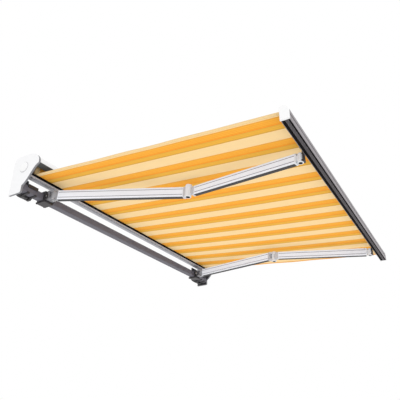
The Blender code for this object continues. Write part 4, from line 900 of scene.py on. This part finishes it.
@dataclass
class Arm:
    """One folding arm: the strips and fittings that lie on its two hollow profiles.

    A profile's four sizes are its start and end from its first pin, its width and its height.
    """

    side: Side
    upper: tuple[float, float, float, float] = (0.032, 0.742, 0.030, 0.056)
    fore: tuple[float, float, float, float] = (0.034, 0.613, 0.026, 0.051)
    upper_offset: float = 0.0185
    fore_offset: float = 0.0165
    strip_depth: float = 0.0006
    strip_share: float = 0.86
    strip_end: float = 0.001
    strip_end_share: float = 0.94
    groove_inset: float = 0.0128
    groove: Pair = (0.0008, 0.0032)
    groove_end: float = 0.003
    elbow_radius: float = 0.0172
    hand_radius: float = 0.0138
    hub_lip: float = 0.0016
    hub_bore: float = 0.72
    hub_round: float = 0.12
    recess_gap: float = 0.0002
    recess_depth: float = 0.0006

    def _pin(self, name: str) -> Vector:
        """Place of one of the arm's pins; both arms are measured on the left, where every pin has a joint."""
        x, y, z = joint(f"left_{name}")["pos_m"]
        return Vector((-self.side.value * x, y, z))

    def _frame(self, pin: Vector, heading: float) -> Matrix:
        """Matrix from (along, across, up) of a body to the world.

        Args:
            pin: Place of the body's pin.
            heading: Turn about the tilted upright axis.

        Returns:
            The matrix.
        """
        turn = Matrix.Rotation(pitch(), 4, "X") @ Matrix.Rotation(heading, 4, "Z")
        return Matrix.Translation(pin) @ turn

    @staticmethod
    def _heading(start: Vector, end: Vector, offset: float) -> float:
        """Turn of a profile away from -Y: that of its line of pins, plus asin(offset / length)."""
        span = end - start
        return math.asin(abs(span.x) / span.length) + math.asin(offset / span.length)

    @property
    def upper_frame(self) -> Matrix:
        """Frame of the upper arm."""
        turn = self._heading(self._pin("shoulder"), self._pin("elbow"), self.upper_offset)
        return self._frame(self._pin("shoulder"), -math.pi / 2.0 - self.side.value * turn)

    @property
    def fore_frame(self) -> Matrix:
        """Frame of the forearm."""
        turn = self._heading(self._pin("elbow"), self._pin("hand"), self.fore_offset)
        return self._frame(self._pin("elbow"), -math.pi / 2.0 + self.side.value * turn)

    def profiles(self) -> tuple[Profile, Profile]:
        """The upper arm's profile and the forearm's."""
        label, offset = self.side.label, -self.side.value * self.fore_offset
        upper = Profile("upper", f"{label}_upper_arm", self.upper_frame, *self.upper)
        return upper, Profile("fore", f"{label}_forearm", self.fore_frame, *self.fore, offset)

    def _under_strip(self, profile: Profile, material: Material) -> None:
        """Dark strip along a profile's underside: a flat rounded section carried along the arm.

        Args:
            profile: The profile.
            material: The strip's material.
        """
        wide, tall = profile.width * self.strip_share, self.strip_depth * 2.0
        section = Surface.rounded(wide, tall, self.strip_depth * 0.9)
        section = section + np.array([profile.offset, -profile.height / 2.0])
        first, last = profile.start + self.strip_end, profile.end - self.strip_end
        stations = np.array([
            [first, self.strip_end_share], [first + self.strip_end, 1.0],
            [last - self.strip_end, 1.0], [last, self.strip_end_share],
        ])
        strip = Surface.bar(f"{profile.name}_under_strip_{self.side.label}", section, stations, profile.place)
        dress(strip, material, profile.body, "dark_plastic")

    def _groove_lines(self, profile: Profile, material: Material) -> None:
        """Painted shade on the floors of the two grooves on each side of a profile: thin grey rectangles
        carried along the arm.

        Args:
            profile: The profile.
            material: Their material.
        """
        depth, tall = self.groove
        section = np.array([[depth, tall], [-depth, tall], [-depth, -tall], [depth, -tall]]) / 2.0
        stations = np.array([[profile.start + self.groove_end, 1.0], [profile.end - self.groove_end, 1.0]])
        for face, face_word in ((-1.0, "rear"), (1.0, "front")):
            for level, level_word in ((-1.0, "foot"), (1.0, "top")):
                across = profile.offset + face * (profile.width / 2.0 - depth)
                middle = np.array([across, level * (profile.height / 2.0 - self.groove_inset)])
                name = f"{profile.name}_groove_{self.side.label}_{face_word}_{level_word}"
                line = Surface.bar(name, section + middle, stations, profile.place)
                # The strips are painted shade in the grooves; they go in the dark plastic slot.
                dress(line, material, profile.body, "dark_plastic")

    def _hub(self, name: str, radius: float, profile: Profile, white: Material, hole_shade: Material) -> None:
        """White sleeve about a pin, with a recess at its foot whose floor holds a black disc of painted
        shade, the dark of a deep hole; both are turned about the pin's axis.

        The sleeve reaches a little past the lowest and the highest point of the left pin's own solid.

        Args:
            name: The pin's word in node names.
            radius: Radius of the sleeve.
            profile: The profile that it rides with.
            white: Material of the sleeve.
            hole_shade: Material of the painted shade in the recess.
        """
        axis = profile.place.to_3x3() @ Vector((0.0, 0.0, 1.0))
        start = np.array(joint(f"left_{name}")["pos_m"])
        reach = (Surface.points(frame["nodes"][f"{name}_pin_left"]) - start) @ np.array(axis)
        low = float(reach.min()) - CLEARANCE - self.hub_lip
        high = float(reach.max()) + self.hub_lip / 2.0
        turn = Matrix.Translation(self._pin(name)) @ axis.to_track_quat("X", "Y").to_matrix().to_4x4()
        inner = radius * self.hub_bore
        edge = radius * self.hub_round
        floor = low + self.hub_lip
        shell = np.array([
            [floor, NEEDLE], [floor, inner], [low, inner], [low, radius - edge],
            [low + edge, radius], [high - edge, radius], [high, radius - edge], [high, NEEDLE],
        ])
        label = self.side.label
        dress(Surface.turned(f"{name}_hub_{label}", shell, turn), white, profile.body, "cast_grey")
        # A black disc on the recess's floor is painted shade, as dark as a deep hole; it goes in the dark
        # plastic slot.
        level = floor - self.recess_gap
        foot = level - self.recess_depth
        hole_shade_disc = np.array([[level, NEEDLE], [level, inner * 0.96], [foot, inner * 0.9], [foot, NEEDLE]])
        dress(Surface.turned(f"{name}_recess_{label}", hole_shade_disc, turn), hole_shade, profile.body, "dark_plastic")

    def build(self, dark: Material, shade: Material, white: Material, hole_shade: Material) -> None:
        """Make the arm's added pieces.

        Args:
            dark: Material of the underside strips.
            shade: Material of the painted shade on the grooves' floors.
            white: Material of the sleeves about the pins.
            hole_shade: Material of the painted shade in the recesses at their feet.
        """
        upper, fore = self.profiles()
        for profile in (upper, fore):
            self._under_strip(profile, dark)
        for profile in (upper, fore):
            self._groove_lines(profile, shade)
        self._hub("elbow", self.elbow_radius, upper, white, hole_shade)
        self._hub("hand", self.hand_radius, fore, white, hole_shade)


@dataclass
class Cassette:
    """Hood, shell and bar drawn out into thin end covers, with the strips and spurs along them.

    A pair is (y, z) where it names a place, and (sideways, up) or (before, after) where it names a size.
    """

    inner: float = 0.9453
    outer: float = 0.9553
    seat: float = 0.9723
    seat_reach: Pair = (0.005, 0.001)
    plate_share: float = 0.6
    stretched: tuple[str, ...] = (
        "hood_profile", "lower_profile", "brush_seal", "support_bar", "end_bracket_left", "end_bracket_right",
        "end_cover_left", "end_cover_right", "motor_head", "idler_plug", "idler_bearing",
    )
    end_gap: float = 0.0005
    lip: Pair = (-0.195, 0.121)
    lip_return: Pair = (0.046, -0.004)
    rib_count: int = 4
    rib_depth: float = 0.0014
    strip_gap: float = 0.0013
    strip_web: float = 0.0004
    roller: Pair = (-0.085, 0.126)
    shell_radius: float = 0.0556
    shell_arc_end: float = -97.0
    shell_lip: Pair = (-0.119, 0.0629)
    shell_lines: tuple[float, ...] = (0.12, 0.45, 0.90)
    line_half: Pair = (0.0021, 0.0008)
    spur: tuple[float, float, float] = (0.013, 0.0042, 0.0045)
    spur_grip: float = 0.0064
    spur_reach: float = 0.006
    spur_taper: Pair = (0.010, 0.003)
    foot: float = 0.0055
    shelf_back: float = 0.003
    cap_centre: Pair = (-0.0875, 0.113)
    cap_radius: float = 0.0290
    cap_rise: float = 0.0056
    cap_wall: float = 0.0012
    # Width and height of the thin ring round the cap, whose grey is painted shadow.
    cap_seam: float = 0.0020
    seam_height: float = 0.0004

    @staticmethod
    def _replace(name: str, suffix: str, points: np.ndarray) -> None:
        """Show a copy of a solid with moved points in its place; the solid itself isn't changed.

        Args:
            name: Name of the CAD node.
            suffix: Word at the end of the copy's name.
            points: The copy's points, of shape (n, 3).
        """
        node = frame["nodes"][name]
        mesh = node.data.copy()
        mesh.vertices.foreach_set("co", points.ravel())
        mesh.update()
        obj = bpy.data.objects.new(f"{name}_{suffix}", mesh)
        bpy.context.scene.collection.objects.link(obj)
        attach(obj, body_of(node)[0])
        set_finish(obj, node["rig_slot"])
        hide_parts(name)
        LOG.info("piece %s", obj.name)

    def _stretch(self, name: str) -> None:
        """Draw a solid's ends out: |x| near the end bracket's plate goes to the new seat.

        New |x| = seat + (|x| - inner) * plate share. It acts from just before the plate's inner face to its
        outer face.

        Args:
            name: Name of the CAD node.
        """
        points = Surface.points(frame["nodes"][name])
        away = np.abs(points[:, 0])
        before, after = self.seat_reach
        near_end = (away > self.inner - before) & (away < self.outer + after)
        moved = self.seat + (away - self.inner) * self.plate_share
        points[:, 0] = np.where(near_end, np.sign(points[:, 0]) * moved, points[:, 0])
        self._replace(name, "drawn_out", points)

    def _bracket(self, side: Side) -> None:
        """Draw a wall bracket's shelf back, so that only the spurs reach under the bar.

        Args:
            side: The awning's end.
        """
        name = f"wall_bracket_{side.label}"
        points = Surface.points(frame["nodes"][name])
        bar_low, bar_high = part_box("support_bar")
        shelf = (points[:, 1] < bar_high.y) & (points[:, 2] < bar_low.z)
        points[:, 1] = np.where(shelf, bar_high.y + self.shelf_back, points[:, 1])
        self._replace(name, "trimmed", points)

    def _along(self, name: str, section: np.ndarray, material: Material, slot: str) -> None:
        """Carry a section from one end cover to the other.

        Args:
            name: Name of the piece.
            section: Its (y, z) outline.
            material: Its material.
            slot: Its material slot.
        """
        half = self.seat - self.end_gap
        dress(Surface.rail(name, section, -half, half), material, "wall_frame", slot)

    def _under_hood(self, material: Material) -> None:
        """Ribbed strip under the hood's lip: underside = top - web - depth * |sin(ribs * pi * t)|.

        Args:
            material: Its material.
        """
        t = np.linspace(0.03, 0.97, 49)
        y = self.lip[0] + self.lip_return[0] * t
        z = self.lip[1] + self.lip_return[1] * t - self.strip_gap
        ribs = self.strip_web + self.rib_depth * np.abs(np.sin(self.rib_count * math.pi * t))
        under = np.stack([y, z - ribs], axis=1)
        top = np.stack([y[::-1], z[::-1]], axis=1)
        self._along("hood_under_strip", np.concatenate([under, top]), material, "dark_plastic")

    def _shell_lines(self, material: Material) -> None:
        """Fine raised lines along the shell's flat, from the end of its arc to its lip: small lozenges whose
        dark is painted shade of the shell's grooves.

        Args:
            material: Their material, painted shade.
        """
        angle = math.radians(self.shell_arc_end)
        start = np.array(self.roller) + self.shell_radius * np.array([math.cos(angle), math.sin(angle)])
        flat = np.array(self.shell_lip) - start
        side = flat / np.linalg.norm(flat)
        out = np.array([side[1], -side[0]])
        wide, tall = self.line_half
        for count, share in enumerate(self.shell_lines, 1):
            middle = start + flat * share
            corners = [middle + side * wide, middle + out * tall, middle - side * wide, middle - out * tall]
            # The lozenges' dark is painted shade; they go in the silver profile slot.
            self._along(f"shell_line_{count}", np.stack(corners), material, "silver_profile")

    def _end_cap(self, side: Side, white: Material, shadow_ring: Material) -> None:
        """Domed round cap on an end cover, and a thin grey ring round it whose grey is painted shadow of the
        gap at the cap's foot; both are turned about X.

        Height of the dome = wall + (rise - wall) * sqrt(1 - (r / radius)^2) ^ 0.6.

        Args:
            side: The awning's end.
            white: Material of the cap.
            shadow_ring: Material of the ring of painted shadow.
        """
        low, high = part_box(f"end_cover_{side.label}")
        face = (high.x if side is Side.RIGHT else -low.x) + CLEARANCE
        turn = Matrix.Translation((side.value * face, *self.cap_centre))
        turn = turn @ Matrix.Scale(side.value, 4, (1.0, 0.0, 0.0))
        share = np.linspace(1.0, 0.004, 14)
        dome = self.cap_wall + (self.cap_rise - self.cap_wall) * np.sqrt(1.0 - share**2) ** 0.6
        outline = np.stack([np.append(0.0, dome), np.append(1.0, share) * self.cap_radius], axis=1)
        cap = Surface.turned(f"end_cap_{side.label}", outline, turn, 48)
        dress(cap, white, "wall_frame", "white_plastic")
        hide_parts(f"end_disc_{side.label}")
        # The ring is painted shadow at the cap's foot; it goes in the dark plastic slot.
        outer, top = self.cap_radius + self.cap_seam, self.seam_height
        rim = np.array([[0.0, NEEDLE], [0.0, outer], [top, outer - top], [top, NEEDLE]])
        dress(Surface.turned(f"end_cap_seam_{side.label}", rim, turn, 48), shadow_ring, "wall_frame", "dark_plastic")

    def _spurs(self, side: Side, material: Material) -> None:
        """Two narrow jaws at the edges of a wall bracket, hooked a little way up the bar's front.

        Args:
            side: The awning's end.
            material: Their material.
        """
        name = f"wall_clamp_{side.label}"
        low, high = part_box(name)
        bar_low, bar_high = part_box("support_bar")
        wide, lip, hook = self.spur
        under = bar_low.z - CLEARANCE
        front = bar_low.y - CLEARANCE
        back = bar_high.y + self.shelf_back - CLEARANCE
        shelf = low.z + self.spur_grip
        sole = under - self.foot
        toe, heel = self.spur_taper
        section = np.array([
            (high.y, low.z), (high.y, shelf), (back, shelf), (back, under), (front, under),
            (front, under + hook), (front - lip, under + hook), (front - lip, sole + lip / 2.0),
            (front, sole), (back - toe, sole), (back - heel, low.z),
        ])
        for count, start in enumerate((low.x - self.spur_reach, high.x + self.spur_reach - wide), 1):
            jaw = Surface.rail(f"wall_spur_{side.label}_{count}", section, start, start + wide)
            dress(jaw, material, "wall_frame", "cast_grey")
            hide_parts(name, f"clamp_bolt_{side.label}")

    def build(self, effects: Effects, white: Material) -> None:
        """Make the drawn-out copies and the trim.

        Args:
            effects: The shared node groups.
            white: Material of the end caps.
        """
        under, line = HOOD_UNDER.material(effects), SHELL_GROOVE_SHADE.material(effects)
        dark, shadow_ring = CAST_DARK.material(effects), CAP_PAINTED_SHADOW.material(effects)
        for name in self.stretched:
            self._stretch(name)
        self._under_hood(under)
        self._shell_lines(line)
        for side in Side:
            self._end_cap(side, white, shadow_ring)
            self._bracket(side)
            self._spurs(side, dark)


@dataclass(frozen=True)
class Rail:
    """Section of a rail under the front bar, forward of its rear face and above its foot.

    Its underside swells by bulge.
    """

    near: float
    far: float
    low: float
    high: float
    bulge: float


@dataclass
class FrontBar:
    """Trim of the front bar: an insert, a band and a drip groove on its underside, and a line on its face;
    the black in the groove is painted shade.
    """

    insert: Rail = Rail(0.0022, 0.0152, 0.0016, 0.0080, 0.0006)
    band: Rail = Rail(0.0160, 0.0280, -0.0005, -0.0001, 0.0002)
    # Black strip in the drip groove: painted shade of the groove.
    groove: Rail = Rail(0.0288, 0.0352, -0.0004, 0.0060, 0.0002)
    margin: float = 0.001
    line_level: float = 0.026
    line_height: float = 0.0035
    line_proud: float = 0.0004
    line_root: float = 0.001
    columns: int = 9

    def _along(self, name: str, section: np.ndarray, material: Material) -> None:
        """Carry a (y, z) section from one end of the bar to the other."""
        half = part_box("front_profile")[1].x - self.margin
        dress(Surface.rail(name, section, -half, half), material, "front_bar", "dark_plastic")

    def _rail(self, name: str, rail: Rail, material: Material) -> None:
        """Long rail whose underside is a shallow arch, low - bulge * sin(pi t).

        Args:
            name: Name of the piece.
            rail: Its section.
            material: Its material.
        """
        lowest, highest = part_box("front_profile")
        t = np.linspace(0.0, 1.0, self.columns)
        y = highest.y - (rail.near + (rail.far - rail.near) * t)
        under = np.stack([y, lowest.z + rail.low - rail.bulge * np.sin(math.pi * t)], axis=1)
        top = np.stack([y[::-1], np.full(self.columns, lowest.z + rail.high)], axis=1)
        self._along(name, np.concatenate([under, top]), material)

    def _face_line(self, name: str, material: Material) -> None:
        """Thin raised line along the bar's front face, a flat rectangle.

        Args:
            name: Name of the piece.
            material: Its material.
        """
        face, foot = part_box("front_profile")[0].yz
        low, high = foot + self.line_level, foot + self.line_level + self.line_height
        root, proud = face + self.line_root, face - self.line_proud
        self._along(name, np.array([(root, low), (root, high), (proud, high), (proud, low)]), material)

    def build(self, black: Material, band: Material) -> None:
        """Make the rails and the line on the face.

        Args:
            black: Material of the insert and of the painted shade in the drip groove.
            band: Material of the grey band and of the line.
        """
        self._rail("front_insert", self.insert, black)
        self._rail("front_under_band", self.band, band)
        self._rail("front_drip_lining", self.groove, black)
        self._face_line("front_face_line", band)


@dataclass
class Hardware:
    """Finishes of the solids that are shown as they are."""

    groups: tuple[tuple[Finish, str, tuple[str, ...]], ...] = (
        (WHITE_COAT, "white_coated", ("upper_arm", "forearm")),
        (WHITE_PROFILE, "white_coated", ("hood_profile",)),
        (SHELL, "silver_profile", ("lower_profile",)),
        (SILVER, "silver_profile", ("front_profile",)),
        (BAR_GREY, "bar_grey", ("support_bar",)),
        (COVER_MOULD, "white_plastic", ("end_cover",)),
        (WHITE_MOULD, "white_plastic", ("end_disc", "front_cap")),
        (CAST_GREY, "cast_grey", ("end_bracket", "wall_bracket", "wall_clamp", "arm_bracket", "arm_strap")),
        (CAST_GREY, "cast_grey", ("hand_bracket",)),
        (CAST_MID, "cast_grey", ("shoulder_cradle", "shoulder_knuckle")),
        (CAST_PALE, "cast_grey", ("elbow_fork", "elbow_knuckle")),
        (CAST_LIGHT, "cast_grey", ("hand_knuckle",)),
        (BLACK, "black_rubber", ("brush_seal", "front_welt")),
        (MOTOR, "dark_plastic", ("tube_motor", "motor_head", "motor_crown", "drive_wheel")),
        (STEEL, "pin_steel", ("shoulder_pin", "elbow_pin", "hand_pin", "arm_spring", "idler_bearing")),
        (ZINC, "zinc_steel", ("clamp_bolt", "pitch_bolt", "roller_tube", "idler_plug")),
    )

    def build(self, effects: Effects, made: dict[str, Material]) -> None:
        """Dress every solid that stays in view or that is copied.

        Args:
            effects: The shared node groups.
            made: Materials made so far by finish name, which this adds to.
        """
        finishes = {stem: (finish, slot) for finish, slot, stems in self.groups for stem in stems}
        for name, node in frame["nodes"].items():
            stem = name.removesuffix("_left").removesuffix("_right")
            if stem not in finishes:
                continue
            finish, slot = finishes[stem]
            if finish.name not in made:
                made[finish.name] = finish.material(effects)
            node.data.materials.clear()
            node.data.materials.append(made[finish.name])
            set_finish(node, slot)
            LOG.info("solid %s in %s", name, finish.name)


@dataclass
class Studio:
    """Camera, floor, world and soft lamps."""

    position: tuple[float, float, float] = (-2.3174, -1.9768, -1.1567)
    right: tuple[float, float, float] = (0.5094, -0.86053, 0.0)
    upward: tuple[float, float, float] = (-0.38973, -0.2307, 0.89156)
    forward: tuple[float, float, float] = (0.76722, 0.45416, 0.4529)
    focal_pixels: float = 456.35
    image_pixels: float = 400.0
    sensor: float = 36.0
    floor_level: float = -2.6
    world_level: float = 0.92
    key_level: float = 0.24
    key_heading: tuple[float, float, float] = (0.80, 0.42, -0.55)
    key_angle: float = 35.0
    fill_watts: float = 11.0
    fill_place: tuple[float, float, float] = (-0.3, -0.9, -2.3)
    fill_size: float = 4.0
    floor_rings: tuple[float, ...] = (0.001, 2.0, 6.0, 30.0)
    floor_shade: float = 0.90
    floor_fade: Pair = (3.2, 9.0)

    def camera(self) -> None:
        """Place the camera: its -Z looks forward, X to the right and Y up."""
        data = bpy.data.cameras.new("camera")
        data.sensor_width = self.sensor
        data.lens = self.focal_pixels / self.image_pixels * self.sensor
        data.clip_start = 0.05
        data.clip_end = 100.0
        obj = bpy.data.objects.new("camera", data)
        turn = Matrix((self.right, self.upward, tuple(-v for v in self.forward))).transposed()
        obj.matrix_world = Matrix.Translation(self.position) @ turn.to_4x4()
        bpy.context.scene.collection.objects.link(obj)
        bpy.context.scene.camera = obj

    def lamps(self) -> None:
        """One soft key from above on the arm side, and a wide weak panel above the floor that shines up.

        A key level of 1 lights a facing surface as brightly as its colour. The camera doesn't see the panel.
        """
        data = bpy.data.lights.new("key", "SUN")
        data.energy = self.key_level * math.pi
        data.angle = math.radians(self.key_angle)
        key = bpy.data.objects.new("key", data)
        key.rotation_mode = "QUATERNION"
        key.rotation_quaternion = Vector(self.key_heading).to_track_quat("-Z", "Y")
        data = bpy.data.lights.new("fill", "AREA")
        data.energy = self.fill_watts
        data.size = self.fill_size
        fill = bpy.data.objects.new("fill", data)
        fill.location = self.fill_place
        fill.rotation_euler = (math.pi, 0.0, 0.0)
        fill.visible_camera = False
        for lamp in (key, fill):
            bpy.context.scene.collection.objects.link(lamp)

    def world(self) -> None:
        """White to the camera and in reflections, a plain level for everything else."""
        world = bpy.data.worlds.new("studio")
        bpy.context.scene.world = world
        world.use_nodes = True
        w = Wiring(world.node_tree)
        world.node_tree.nodes.clear()
        path = w.add("ShaderNodeLightPath")
        seen = w.math("MAXIMUM", path.outputs["Is Camera Ray"], path.outputs["Is Glossy Ray"])
        seen = w.math("MAXIMUM", seen, path.outputs["Is Transmission Ray"])
        back = w.add("ShaderNodeBackground")
        level = (self.world_level,) * 3
        w.join(w.mix(seen, level, (1.0, 1.0, 1.0)), back.inputs["Color"])
        out = w.add("ShaderNodeOutputWorld")
        w.join(back.outputs[0], out.inputs["Surface"])

    def floor(self) -> None:
        """A wide pale disc that keeps the shadow and fades to white away from the object."""
        radius = np.array(self.floor_rings)[:, None]
        angle = np.linspace(0.0, 2.0 * math.pi, 64, endpoint=False)
        height = np.full((len(radius), len(angle)), self.floor_level)
        points = np.stack([radius * np.cos(angle), radius * np.sin(angle), height], axis=2)
        obj = Surface.grid("floor", points, around=True)
        material, w, shader = new_material("floor")
        shader.inputs["Base Color"].default_value = (*(self.floor_shade,) * 3, 1.0)
        shader.inputs["Roughness"].default_value = 0.9
        place = w.add("ShaderNodeTexCoord").outputs["Object"]
        distance = w.add("ShaderNodeVectorMath", operation="LENGTH")
        w.join(place, distance.inputs[0])
        fade = w.add("ShaderNodeMapRange", interpolation_type="SMOOTHSTEP")
        fade.inputs["From Min"].default_value = self.floor_fade[0]
        fade.inputs["From Max"].default_value = self.floor_fade[1]
        w.join(distance.outputs["Value"], fade.inputs["Value"])
        seen = w.add("ShaderNodeLightPath").outputs["Is Camera Ray"]
        glow = w.add("ShaderNodeEmission")
        blend = w.add("ShaderNodeMixShader")
        w.join(w.math("MULTIPLY", fade.outputs[0], seen), blend.inputs[0])
        w.join(shader.outputs[0], blend.inputs[1])
        w.join(glow.outputs[0], blend.inputs[2])
        w.join(blend.outputs[0], material.node_tree.nodes["Material Output"].inputs["Surface"])
        obj.data.materials.append(material)

    def build(self) -> None:
        """Set up the whole studio."""
        self.camera()
        self.lamps()
        self.world()
        self.floor()
        bpy.context.scene.view_settings.view_transform = "Standard"


def main() -> None:
    """Build every class in order."""
    logging.basicConfig(level=logging.INFO, format="%(name)s: %(message)s")
    effects = Effects()
    made: dict[str, Material] = {}
    Hardware().build(effects, made)
    dark = DARK_TRIM.material(effects)
    black = BLACK.material(effects)
    band = UNDER_BAND.material(effects)
    shade = GROOVE_PAINTED_SHADE.material(effects)
    Canopy().build(effects)
    for side in Side:
        Arm(side).build(dark, shade, made[CAST_LIGHT.name], black)
    Cassette().build(effects, made[WHITE_MOULD.name])
    FrontBar().build(black, band)
    Studio().build()
    bpy.context.view_layer.update()


if __name__ == "__main__":
    main()
